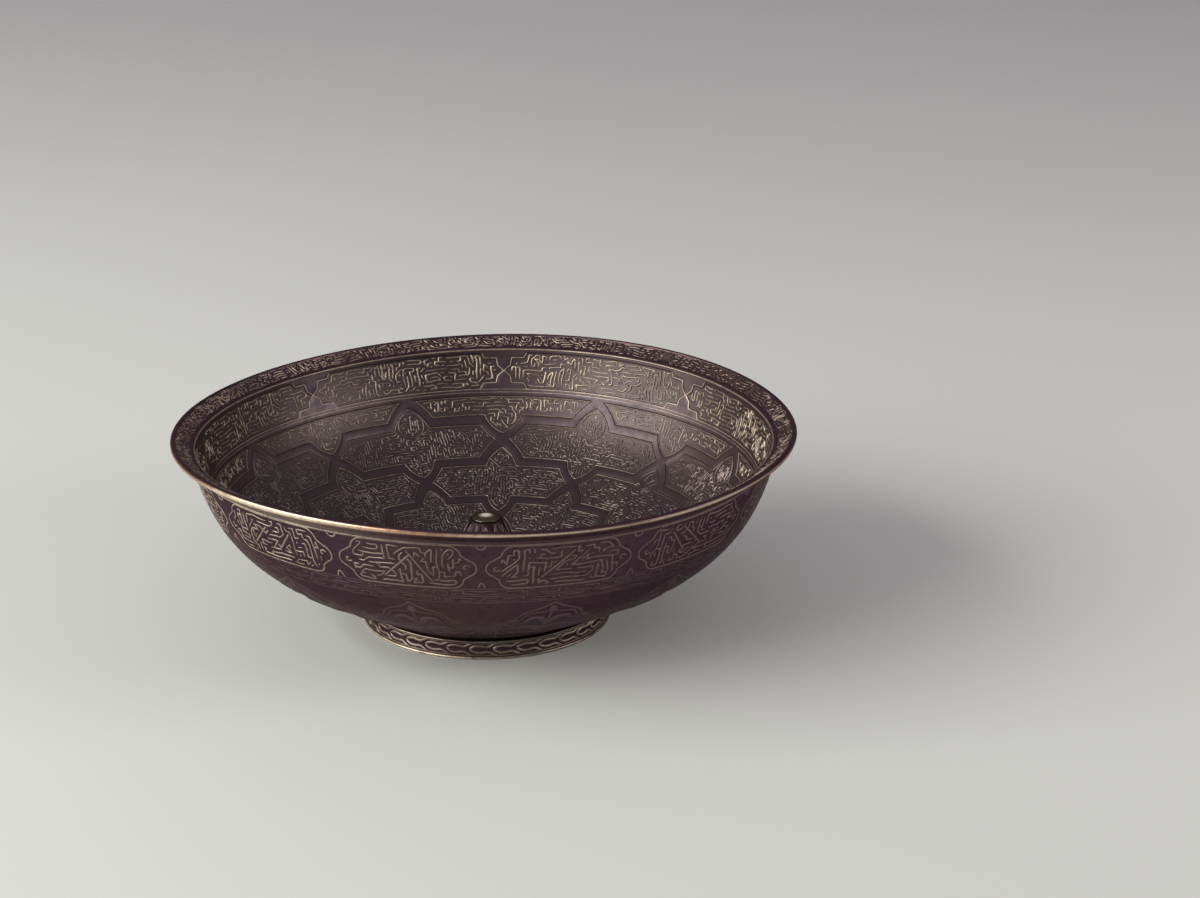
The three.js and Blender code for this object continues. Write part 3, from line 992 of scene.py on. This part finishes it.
def makeInnerPlate(skin, metal, paleMetal):
    s, c = strapwork, cartoucheBand
    fields = strapFields(skin)
    cartouche = cartoucheOutline(skin)
    holes = [(outline, middle) for outline, middle, _ in fields]
    holes += [(drawnIn(cartouche, c["holeGap"]), middle) for middle in strapMiddles()]
    places, faces = pierced(skin, holes, *plateEnds(skin), s["depth"], s["edge"])
    made = makeObject("innerStrapwork", skin.place(*places.T), faces, metal, crease=plate["crease"])
    dress(made, "patinated_bowl_metal", "bowl_body")

    lines = Tracery(skin)
    for outline, middle, _ in fields:
        path = fromFlat(skin, drawnIn(outline, s["groove"]), middle)
        lines.line(path, s["outlineWidth"], s["outlineTop"], -s["depth"], closed=True, bevel=0.1)
    # the ledge line serves as the top of the cartouches
    top = np.flatnonzero(cartouche[:, 1] > c["high"] - 0.01)
    sides = np.vstack([cartouche[top[-1]:], cartouche[:top[0] + 1]])
    for middle in strapMiddles():
        lines.line(fromFlat(skin, sides, middle), c["lineWidth"], c["lineTop"])
    for reach in c["borderLines"]:
        lines.ring(reach, c["borderWidth"], c["lineTop"])
    floorLine = skin.reachOfRadius(s["floorRadius"]) - s["floorLineGap"]
    lines.ring(floorLine, s["floorLineWidth"], s["floorLineTop"])
    lines.build("innerOutlines", paleMetal)
    print("strapwork made:", len(faces), "faces")


# a roundel or diamond in the outer tips of a row's fields: centre's reach from the flats, size, kind
tipDevices = {
    0: (-0.3, 4.5, "round"),
    1: (1.4, 4.2, "diamond"),
    2: (0.8, 3.8, "diamond"),
}

device = {
    "margin": 0.6,
    "inset": 0.75,
    "lineShare": 0.65,
    "lineDrop": 0.04,
    "pitchShare": 0.92,
}

rimRow = 3
fillNames = ("innerFretUpper", "innerFretMiddle", "innerFretLower", "innerFretRim", "innerFretFloor")


def tipShape(kind, centre, size):
    if kind == "round":
        return circle(centre, size)
    corners = np.array([(size, 0), (0, size), (-size, 0), (0, -size)]) + np.array(centre)
    return divided(corners, closed=True)


def drawDevice(tracery, rng, middle, kind, centre, size, look):
    d = device
    shape = fromFlat(tracery.skin, tipShape(kind, centre, size), middle)
    width, top = look["width"] * d["lineShare"], look["top"] - d["lineDrop"]
    tracery.line(shape, width, top, look["foot"], closed=True, bevel=look["bevel"])
    finer = dict(look, pitch=look["pitch"] * d["pitchShare"])
    fillField(tracery, rng, tipShape(kind, centre, size - d["inset"]), middle, finer)


def makeFieldFills(skin, metal, brightMetal):
    s = strapwork
    rng = random.Random(17)
    fills = [Tracery(skin) for _ in fillNames]
    for outline, middle, number in strapFields(skin):
        look = rimFill if number == rimRow else fieldFill
        kept = []
        if number in tipDevices:
            away, size, kind = tipDevices[number]
            centre = (0, skin.reachOfRadius(s["flatRadii"][number]) + away)
            kept.append(tipShape(kind, centre, size + device["margin"]))
            drawDevice(fills[number], rng, middle, kind, centre, size, look)
        fillField(fills[number], rng, drawnIn(outline, s["groove"] + s["fillGap"]), middle, look, kept)
    for number, name in enumerate(fillNames):
        fills[number].build(name, brightMetal if number == rimRow else metal)
    print("field fretwork made")


def lipReaches(skin, faces):
    # the ledge, and the two sides of the lip's band
    ledge, lipTop = (skin.reachOfRadius(faces[name][0]) for name in ("ledge", "lipTop"))
    return ledge, ledge + lipBand["inner"], lipTop - lipBand["outer"]


def makeBandFills(skin, faces, metal, lipMetal):
    rng = random.Random(29)
    fret, lip, line = Tracery(skin), Tracery(skin), Tracery(skin)
    outline = drawnIn(cartoucheOutline(skin), cartoucheBand["fillGap"])
    for middle in strapMiddles():
        fillField(fret, rng, outline, middle, cartoucheFill)
    fret.build("cartoucheFret", metal)
    ledge, low, high = lipReaches(skin, faces)
    fillRound(lip, rng, low, high, lipBand["fillGap"], lipFill)
    lip.build("lipFret", lipMetal)
    # a pale ring along the ledge: the cartouches' top border, and a painted highlight on the ledge's edge
    line.ring(ledge, lipBand["ledgeWidth"], lipBand["ledgeTop"], lipBand["ledgeFoot"])
    line.build("ledgeHighlightLine", metal)
    print("bands made")


# Shell

shell = {
    "wornAndLitOutside": 3.6,     # how far from the outermost line the edge can be painted worn and highlighted, on each face
    "wornAndLitInside": 2.4,
    "underWidth": 9.5,        # the face under the lip, and where it fades into the wall
    "underFade": 2.5,
    "slope": 0.3,
    "probe": 0.05,
    "edgeRows": 12,
}


def stepDown(reach, low, high, depth):
    inside = np.clip((reach - low) / shell["slope"], 0, 1) * np.clip((high - reach) / shell["slope"], 0, 1)
    return -depth * inside, inside


def reliefInside(skin, faces, reach):
    # height of the inner face over its plain form, and how far it counts as sunk ground
    _, low, high = lipReaches(skin, faces)
    gap = lipBand["sunkGap"]
    ground, groundShare = stepDown(reach, *plateEnds(skin), strapwork["depth"])
    lip, lipShare = stepDown(reach, low - gap, high + gap, lipBand["depth"])
    return ground + lip, groundShare + lipShare * 0.5


def makeShell(inside, outside, faces, metal):
    s, columns = shell, bowl["columns"]
    angle = np.linspace(0, 2 * math.pi, columns + 1)[:-1]
    outerRows, innerRows = (
        np.concatenate([np.arange(0, skin.reach[-1], bowl["rowStep"]), skin.reach[-s["edgeRows"]:]])
        for skin in (outside, inside)
    )
    probe = np.arange(0, inside.reach[-1], s["probe"])
    height, sunk = reliefInside(inside, faces, probe)
    edges = probe[np.abs(np.gradient(height, s["probe"])) > 0.2][::3]
    outer = np.unique(outerRows)
    inner = np.unique(np.round(np.concatenate([innerRows, edges]), 2))[::-1][1:]
    height, sunk = reliefInside(inside, faces, inner)
    rings = [outside.place(angle, np.full(columns, reach), 0.0) for reach in outer]
    rings += [inside.place(angle, np.full(columns, reach), lift) for reach, lift in zip(inner, height)]
    points, faceList = turnedMesh(rings, columns)
    made = makeObject("bowlShell", points, faceList, metal)
    # how far each ring is sunk, how near it is to the lip's outermost line, and whether it is under the lip
    outerAway, innerAway = outside.reach[-1] - outer, inside.reach[-1] - inner
    marks = {
        "sunk": (0 * outer, sunk),
        "rim": (1 - outerAway / s["wornAndLitOutside"], 1 - innerAway / s["wornAndLitInside"]),
        "under": ((s["underWidth"] - outerAway) / s["underFade"], 0 * inner),
    }
    counts = [1 if np.allclose(ring[:, :2], 0, atol=1e-6) else columns for ring in rings]
    for name, rows in marks.items():
        layer = made.data.attributes.new(name, "FLOAT", "POINT")
        layer.data.foreach_set("value", np.repeat(np.clip(np.concatenate(rows), 0, 1), counts))
    dress(made, "patinated_bowl_metal", "bowl_body")
    print("shell made:", len(faceList), "faces")


# Outside of the bowl

outerBand = {
    # angles of the gaps between cartouches, which were laid out one by one
    "gaps": (-91, -61.2, -31, -0.5, 29.6, 60, 90, 119.5, 150, 180, 210.3, 240.8),
    "gap": 1.4,
    "topLine": 58.3,
    "bottomLine": 42.7,
    "halfHeight": 7.95,
    "endLobe": 3.0,
    "shoulder": 3.8,
    "shoulderIn": 8.0,
    "lineWidth": 0.32,
    "top": 0.10,
    "fillGap": 0.95,
    "barWidth": 0.36,
    "barTop": 0.13,
    "barGap": 0.85,
    "barPlace": 0.45,         # how far from the middle, as a share of half the cartouche
    "barLean": (2.5, 5.0),
    "barLow": (-5.6, -2.5),
    "barHigh": (3.5, 6.0),
    "curl": 1.3,
    "curlGap": 2.0,
    "curlWidth": 0.3,
    "topLineWidth": 0.36,
    "drop": 1.45,
    "dropWidth": 0.34,
    "budWidth": 0.3,
    "bud": ((-1.2, 0.3), (-0.5, 2.2), (0, 2.7), (0.5, 2.2), (1.2, 0.3)),
}

outerFill = dict(
    fieldFill, pitch=1.62, calm=0.2, long=(6, 7, 8, 9), longShare=0.2, width=0.32, bevel=0.11, top=0.14,
    foot=-0.03, sway=0.12, straight=8, slant=0.45, ticks=0.5, branch=0.6,
)

strokeBand = dict(
    outerFill, pitch=1.3, rowCells=4, calm=2.5, dots=0.5, lengths=(2, 3, 4, 5, 6), width=0.30, bevel=0.12,
    top=0.10, ticks=0.0, straight=3,
)


def outerCartouche(half):
    o = outerBand
    lobe = arc((half - o["endLobe"], 0), o["endLobe"], 0, math.radians(72), 6)
    centre = (half - o["shoulderIn"], o["halfHeight"] - o["shoulder"])
    upper = np.vstack([lobe, arc(centre, o["shoulder"], math.radians(6), math.radians(90), 7)])
    right = np.vstack([upper[::-1] * np.array([1, -1]), upper[1:]])
    return divided(np.vstack([right, right[::-1] * np.array([-1, 1])]), 1.3, closed=True)


def crossBars(rng, half):
    # long slanting bars that cross in the middle of a cartouche
    o = outerBand
    reach = half * o["barPlace"]
    bars = []
    for _ in range(rng.choice((0, 1, 2, 2))):
        x = rng.uniform(-reach, reach)
        lean = rng.choice((-1, 1)) * rng.uniform(*o["barLean"])
        low, high = rng.uniform(*o["barLow"]), rng.uniform(*o["barHigh"])
        bars.append(np.array([(x - lean, low), (x + lean, high)]))
    return bars


def makeOuterBand(skin, metal):
    o = outerBand
    rng = random.Random(53)
    lines, fill = Tracery(skin), Tracery(skin)
    high, low = skin.reachOfHeight(o["topLine"]), skin.reachOfHeight(o["bottomLine"])
    middleReach = (high + low) / 2
    radius = float(skin.radius(middleReach))
    gaps = list(o["gaps"])
    side = np.array([o["barGap"], 0])
    drop = arc((0, high - 0.1), o["drop"], math.pi, 2 * math.pi, 8)
    bud = rounded([(x, low + y) for x, y in o["bud"]])
    for start, end in zip(gaps, gaps[1:] + [gaps[0] + 360]):
        middle = math.radians((start + end) / 2)
        half = math.radians(end - start) / 2 * radius - o["gap"]
        outline = outerCartouche(half) + np.array([0, middleReach])
        lines.line(fromFlat(skin, outline, middle), o["lineWidth"], o["top"], closed=True)
        kept = []
        for bar in crossBars(rng, half):
            bar = bar + np.array([0, middleReach])
            fill.line(fromFlat(skin, divided(bar), middle), o["barWidth"], o["barTop"])
            kept.append(np.array([bar[0] - side, bar[0] + side, bar[1] + side, bar[1] - side]))
        for hand in (-1, 1):
            eye = (hand * (half - o["endLobe"]), middleReach)
            curl = spiral(eye, o["curl"], 0.7, 0.4 * hand, hand)
            fill.line(fromFlat(skin, divided(curl, 1.0), middle), o["curlWidth"], o["top"])
            kept.append(circle(eye, o["curlGap"]))
        fillField(fill, rng, drawnIn(outline, o["fillGap"]), middle, outerFill, kept)
        edge = math.radians(start)
        lines.line(fromFlat(skin, drop, edge), o["dropWidth"], o["top"])
        lines.line(fromFlat(skin, bud, edge), o["budWidth"], o["top"])
    lines.ring(high, o["topLineWidth"], o["top"])
    lines.build("outerCartoucheOutlines", metal)
    fill.build("outerCartoucheFret", metal)
    print("outer band made")


# paths on the lower wall are given as shares of half a sector and of the height between foot and top
lowerWall = {
    "repeats": 12,
    "turn": -76,
    "bandLines": (42.7, 39.9, 37.2),
    "bandGap": 0.5,
    "bandLineWidth": 0.24,
    "bandLineTop": 0.06,
    "top": 35.6,
    "foot": 14.0,
    "archRise": 0.12,
    "leafRise": 0.24,
    "veinWidth": 0.22,
    "veinRise": 0.3,
    # one inset and width for each line of the double arch over a spray
    "arches": ((0.0, 0.5), (0.09, 0.3)),
    "leaves": (
        (((0.03, 0.02), (0.20, 0.16), (0.44, 0.14), (0.60, 0.30)), 2.6),
        (((0.03, 0.30), (0.14, 0.50), (0.38, 0.52), (0.58, 0.46)), 2.2),
        (((0.03, 0.58), (0.10, 0.74), (0.26, 0.78), (0.38, 0.66)), 1.5),
        (((0.56, 0.02), (0.74, 0.14), (0.80, 0.30)), 1.6),
    ),
    "tip": ((0, 0.84), (0.0, 0.9), (0, 0.97)),
    "stalk": ((0, 0.0), (0.015, 0.4), (-0.015, 0.7), (0, 0.86)),
    "tongueTop": 12.6,
    "tongueFoot": 9.4,
    "tongues": 60,
    "tongueWidth": 1.5,
    "tongueRise": 0.18,
    "tongueShares": (0.7, 1.0, 1.0, 0.9, 0.6, 0.2),
    "ridge": 7.95,
    "ridgeWidth": 0.3,
    "ridgeTop": 0.16,
}


def archPath(inset):
    return [
        (0.97 - inset, 0.0), (0.99 - inset, 0.28), (0.80 - inset, 0.46), (0.84 - inset, 0.62),
        (0.52 - inset, 0.72), (0.44 - inset, 0.86), (0.12, 0.95 - inset), (0.0, 1.02 - inset * 1.3),
    ]


def makeLowerWall(skin, plainMetal, metal, paleMetal):
    w = lowerWall
    rng = random.Random(67)
    bands, leaves, stems, ridge = Tracery(skin), Tracery(skin), Tracery(skin), Tracery(skin)
    for high, low in zip(w["bandLines"], w["bandLines"][1:]):
        fillRound(bands, rng, skin.reachOfHeight(low), skin.reachOfHeight(high), w["bandGap"], strokeBand)
    for height in w["bandLines"]:
        bands.ring(skin.reachOfHeight(height), w["bandLineWidth"], w["bandLineTop"])
    bands.build("lowerBands", metal)

    top, foot = skin.reachOfHeight(w["top"]), skin.reachOfHeight(w["foot"])

    def put(tracery, path, middle, width, height, bevel=0.2, swell=None):
        # across is a share of the half sector, because the wall narrows towards the foot
        path = divided(rounded([(x, foot + (top - foot) * y) for x, y in path], 2))
        angle = middle + path[:, 0] * math.pi / w["repeats"]
        t = np.linspace(0, 1, len(path))
        widths = None if swell is None else 0.25 + 0.75 * np.sin(math.pi * t ** swell)
        path = np.stack([angle, path[:, 1]], 1)
        tracery.line(path, width, height, -0.04, bevel=bevel, crown=height * 0.4, widths=widths)

    for k in range(w["repeats"]):
        middle = math.radians(w["turn"] + k * 360 / w["repeats"])
        for hand in (-1, 1):
            for inset, width in w["arches"]:
                put(stems, [(hand * x, y) for x, y in archPath(inset)], middle, width, w["archRise"])
            for leaf, width in w["leaves"]:
                path = [(hand * x, y) for x, y in leaf]
                put(leaves, path, middle, width, w["leafRise"], bevel=0.45, swell=0.8)
                vein = [(x * 1.02, y + 0.005) for x, y in path]
                put(stems, vein, middle, w["veinWidth"], w["veinRise"], bevel=0.1)
            curl = spiral((0.60, 0.62), 0.13, 0.9, 1.0)
            put(stems, [(hand * x, y) for x, y in curl], middle, 0.3, 0.14)
        put(leaves, w["tip"], middle, 2.0, 0.2, bevel=0.4, swell=1.0)
        put(stems, w["stalk"], middle, 0.5, 0.2)
    widths = np.array(w["tongueShares"])
    low, high = skin.reachOfHeight(w["tongueFoot"]), skin.reachOfHeight(w["tongueTop"])
    reach = np.linspace(low, high, len(widths))
    for k in range(w["tongues"]):
        path = np.stack([np.full(len(reach), 2 * math.pi * (k + 0.5) / w["tongues"]), reach], 1)
        leaves.line(path, w["tongueWidth"], w["tongueRise"], -0.04, bevel=0.35, crown=0.08, widths=widths)
    leaves.build("lowerLeaves", plainMetal)
    stems.build("lowerStems", metal)
    ridge.ring(skin.reachOfHeight(w["ridge"]), w["ridgeWidth"], w["ridgeTop"])
    ridge.build("footRidge", paleMetal)
    print("lower wall made")


# Foot ring

foot = {
    "radius": 40.4,
    "lipHeight": 0.95,
    "lipRound": 0.4,
    "waist": 39.5,
    "cove": 0.25,
    "beadRadius": 40.05,
    "beadLow": 5.35,
    "beadHigh": 6.25,
    "groove": 39.0,
    "wall": 2.2,
    "gap": 0.3,
    "edge": 0.3,
    "columns": 240,
    "links": 33,
    # half of a link: a nose on the left, a lens of a body, and a tail that opens round the next nose
    "halfLink": ((0.0, 0.0), (0.1, 0.16), (0.25, 0.25), (0.5, 0.26),
                 (0.72, 0.18), (0.88, 0.26), (1.02, 0.42), (1.1, 0.48)),
    "linkWidth": 0.66,
    "linkTop": 0.38,
    "chainEdges": (0.02, 0.98),
    "chainEdgeWidth": 0.3,
    "chainEdgeTop": 0.3,
}


def footSection(outside):
    f = foot
    innerRadius = f["waist"] - f["wall"]

    def seat(radius):
        return outside.heightOfRadius(radius) - f["gap"]

    bend, centre = f["lipRound"], f["radius"] - f["lipRound"]
    lip = np.vstack([
        arc((centre, bend), bend, -math.pi / 2, 0, 4),
        arc((centre, f["lipHeight"] - bend), bend, 0, math.pi / 2, 4),
    ])
    t = np.linspace(0, 1, 14)
    cove = np.stack([
        f["waist"] - f["cove"] * np.sin(math.pi * t),
        f["lipHeight"] + 0.02 + (f["beadLow"] - f["lipHeight"] - 0.02) * t,
    ], 1)
    half = (f["beadHigh"] - f["beadLow"]) / 2
    bead = arc((f["beadRadius"] - half, f["beadLow"] + half), half, -math.pi / 2, math.pi / 2, 8)
    groove = np.array([(f["groove"], f["beadHigh"] + 0.08), (f["groove"], seat(f["groove"]))])
    top = np.array([(r, seat(r)) for r in np.linspace(f["groove"] - 0.2, innerRadius + f["edge"], 4)])
    inner = arc((innerRadius + f["edge"], f["edge"]), f["edge"], math.pi, 1.5 * math.pi, 3)
    return np.vstack([lip, cove, bead, groove, top, [(innerRadius, top[-1][1])], inner]), cove


def ringObject(name, section, columns, metal, lobes=None):
    angle = np.linspace(0, 2 * math.pi, columns + 1)[:-1]
    rings = []
    for r, z in section:
        radius = np.full(columns, r)
        if lobes and r > 1:
            radius = radius + lobes(angle, r, z)
        rings.append(np.stack([radius * np.cos(angle), radius * np.sin(angle), np.full(columns, z)], 1))
    points, faces = turnedMesh(rings, columns, closed=section[0][0] > 1e-6)
    return makeObject(name, points, faces, metal)


def makeFoot(outside, metal, paleMetal):
    f = foot
    section, cove = footSection(outside)
    dress(ringObject("footRing", section, f["columns"], metal), "patinated_foot_metal", "foot_ring")
    skin = Skin(cove, side=-1, warped=False)
    chain = Tracery(skin)
    length = skin.reach[-1]
    step = 2 * math.pi / f["links"]
    for k in range(f["links"]):
        for hand in (-1, 1):
            path = rounded([(k + x, y) for x, y in f["halfLink"]], 2)
            path = np.stack([path[:, 0] * step, length * (0.5 + hand * path[:, 1])], 1)
            chain.line(path, f["linkWidth"], f["linkTop"], bevel=0.16, crown=0.12)
    for share in f["chainEdges"]:
        chain.ring(length * share, f["chainEdgeWidth"], f["chainEdgeTop"])
    chain.build("footChain", paleMetal, "patinated_foot_metal", "foot_ring")
    print("foot made")


# Boss and knob

boss = {
    "radius": 25.0,
    "height": 25.3,
    "wall": 1.2,
    "neck": 5.2,
    "neckAngle": 112.0,
    "collar": 1.6,
    "shoulderAngle": 125.0,
    "shoulderPull": 10.0,
    "neckPull": 13.0,
    "lobes": 12,
    "lobeDepth": 0.6,
    "gap": 0.3,
    "bore": 2.0,
    "columns": 288,
    "petalWidth": 0.66,       # a share of half a lobe
    "petalFoot": 0.14,        # shares of the face's length
    "petalLength": 0.83,
    "lineWidth": 0.36,
    "lineTop": 0.16,
    "lineFoot": -0.08,
}


def bossFace(inside):
    b = boss
    floor = inside.heightOfRadius(b["radius"]) + b["gap"]
    top = floor + b["height"]
    shoulder, neck = (b["radius"], floor + b["collar"]), (b["neck"], top)
    shoulderAngle, neckAngle = math.radians(b["shoulderAngle"]), math.radians(b["neckAngle"])
    rise = sweep(shoulder, shoulderAngle, b["shoulderPull"], neck, neckAngle, b["neckPull"], 60)
    return floor, top, rise


def bossLobes(angle, z, face):
    climb = np.clip((z - face[0, 1]) / (face[-1, 1] - face[0, 1]), 0, 1)
    return boss["lobeDepth"] * np.sin(math.pi * climb) * (np.abs(np.cos(boss["lobes"] * angle / 2)) * 2 - 1)


class LobedSkin(Skin):
    # the boss's face with its lobes, deepest half way up
    def place(self, angle, reach, height):
        points = super().place(angle, reach, height)
        swell = 1 + bossLobes(angle, points[..., 2], self.line) / np.hypot(points[..., 0], points[..., 1])
        points[..., :2] *= swell[..., None]
        return points


def makeBoss(inside, metal, paleMetal):
    b = boss
    floor, top, face = bossFace(inside)

    def lobes(angle, r, z):
        return bossLobes(angle, z, face)

    lining = face + leftNormals(face) * b["wall"]
    lining = lining[lining[:, 1] < top - b["wall"]]
    bore = [(b["bore"], top), (b["bore"], top - b["wall"])]
    toe, heel = (b["radius"], floor), (b["radius"] - b["wall"], floor)
    section = np.vstack([[toe], face, bore, lining[::-1], [heel]])
    made = ringObject("bossDome", section, b["columns"], metal, lobes)
    dress(made, "patinated_boss_metal", "boss_dome")

    # a pointed petal inside each lobe, its tip on the neck
    skin = LobedSkin(face, side=-1, warped=False)
    lines = Tracery(skin)
    t = np.linspace(0, 1, 30)
    swell = np.sin(math.pi * t ** 1.7) * b["petalWidth"]
    reach = (b["petalFoot"] + b["petalLength"] * t) * skin.reach[-1]
    for k in range(b["lobes"]):
        for hand in (-1, 1):
            angle = 2 * math.pi * k / b["lobes"] + hand * swell * math.pi / b["lobes"]
            lines.line(np.stack([angle, reach], 1), b["lineWidth"], b["lineTop"], b["lineFoot"])
    lines.build("bossPetals", paleMetal, "patinated_boss_metal", "boss_dome")
    print("boss made")
    return top


knob = {
    "radius": 4.7,
    "height": 1.3,
    "undercut": 0.7,
    "stem": 0.35,
    "tenon": 1.6,
    "tenonHead": 2.6,
    "tenonHeadHeight": 0.8,
    "columns": 96,
}

washer = {
    "radius": 4.0,
    "thickness": 0.9,
    "clearance": 0.3,
    "edge": 0.12,
    "columns": 64,
}


def makeKnob(top, metal):
    k, w = knob, washer
    stemTop = top + k["stem"]
    rise = k["height"] - k["stem"]
    t = np.linspace(0, math.pi / 2, 14)
    cap = np.stack([k["radius"] * np.cos(t) ** 0.92, stemTop + rise * np.sin(t)], 1)
    cap[-1, 0] = 0
    stem = k["radius"] - k["undercut"]
    high = top - boss["wall"]
    low = high - w["thickness"]
    section = np.vstack([
        [(0, low - k["tenonHeadHeight"]), (k["tenonHead"] / 2, low - k["tenonHeadHeight"])],
        [(k["tenonHead"], low), (k["tenon"], low), (k["tenon"], top), (stem, top)],
        [(stem, stemTop - 0.14), (k["radius"] - 0.12, stemTop - 0.1)],
        cap,
    ])
    dress(ringObject("knobCap", section, k["columns"], metal), "worn_knob_brass", "boss_knob")
    bore, edge = k["tenon"] + w["clearance"], w["edge"]
    section = np.array([
        (bore, low), (w["radius"] - edge, low), (w["radius"], low + edge),
        (w["radius"], high - edge), (w["radius"] - edge, high), (bore, high),
    ])
    dress(ringObject("knobWasher", section, w["columns"], metal), "worn_knob_brass", "knob_washer")
    print("knob made")


# Brazing seams

seams = {
    "gap": 0.3,
    "columns": 240,
    "waves": (5, 9, 14, 23, 31, 47),
    # node, side of the corner that it fills, size, points on the wall, place of its hollow, unevenness
    "footSeam": ("foot_solder_seam", -1, 2.0, 4, (0.65, 0.65), 0.12),
    "bossSeam": ("boss_solder_seam", 1, 1.6, 3, (0.52, 0.55), 0.15),
}


def makeSeam(name, skin, corner, phases, metal):
    node, hand, size, steps, hollow, amount = seams[name]
    radii = np.linspace(corner, corner + hand * size, steps)
    places = [(r, skin.heightOfRadius(r) + hand * seams["gap"]) for r in radii]
    start = places[0][1]
    section = np.array([
        (corner, start + hand * size), *places, (corner + hand * hollow[0], start + hand * hollow[1]),
    ])

    def lumps(angle, r, z):
        waves = sum(np.sin(angle * n + p) for n, p in zip(seams["waves"], phases))
        return amount * waves / len(phases) if abs(r - corner) > 0.2 else 0 * angle

    dress(ringObject(name, section, seams["columns"], metal, lumps), "brazing_seam", node)


def makeSeams(inside, outside, metal):
    rng = random.Random(83)
    phases = [rng.uniform(0, 6.28) for _ in seams["waves"]]
    makeSeam("footSeam", outside, foot["waist"] - foot["wall"] - seams["gap"], phases, metal)
    makeSeam("bossSeam", inside, boss["radius"] + seams["gap"], phases, metal)
    print("seams made")


# Floor and light

def makeRoom():
    f = Finish("paleFloor")
    tone = f.blend(f.ramp(f.noise(0.9, 2), 0.3, 0.7), room["floorColour"], room["floorShade"])
    sockets = {"Base Color": tone, "Roughness": 0.85, "Specular IOR Level": 0.2}
    f.node("OutputMaterial", sockets={"Surface": f.node("BsdfPrincipled", sockets=sockets)})
    half = room["floorSize"] / 2
    corners = [(-half, -half, 0), (half, -half, 0), (half, half, 0), (-half, half, 0)]
    floor = makeObject("paleFloor", corners, [(0, 1, 2, 3)], f.material)
    world = bpy.data.worlds.new("softWorld")
    world.use_nodes = True
    back = world.node_tree.nodes["Background"]
    back.inputs["Color"].default_value = room["worldColour"]
    back.inputs["Strength"].default_value = room["worldStrength"]
    bpy.context.scene.world = world


def main():
    makeCamera()
    makeLamps()
    makeRoom()
    faces = bowlFaces()
    inside = Skin(faces["inner"])
    outside = Skin(faces["outer"], side=-1)
    # the left and right shares and the lift are painted light and shade, set for each finish
    outerPale = chasedMetal("outerLine", "line", right=0.1)
    fret = chasedMetal("chasedFret", "fret", wax=0.3, left=0.7, right=1.2)
    gold = chasedMetal("goldFretWornAndLit", "gold", wax=0.3, left=0.5, right=0.85)
    lip = chasedMetal("lipFret", "lip", lift=0.0)
    faint = chasedMetal("faintRelief", "faint", lift=4.0)
    makeShell(inside, outside, faces, shellPatina())
    makeInnerPlate(inside, smoothPatina("strapPatina", "dusty", 0.5, wax=0.35), gold)
    makeFieldFills(inside, fret, gold)
    makeBandFills(inside, faces, gold, lip)
    makeOuterBand(outside, outerPale)
    # the leaves are painted lighter than the wall, a painted sheen for their relief
    makeLowerWall(outside, smoothPatina("leafPaintedSheen", "leaf", 0.65), faint, outerPale)
    makeFoot(outside, footPatina(), chasedMetal("chainRelief", "chain", lift=0.0, right=0.3))
    top = makeBoss(inside, smoothPatina("bossPatina", "deep", 0.62, wax=0.05), faint)
    makeKnob(top, knobBrass())
    makeSeams(inside, outside, seamMetal())
    bpy.context.scene.view_settings.view_transform = "Standard"


main()
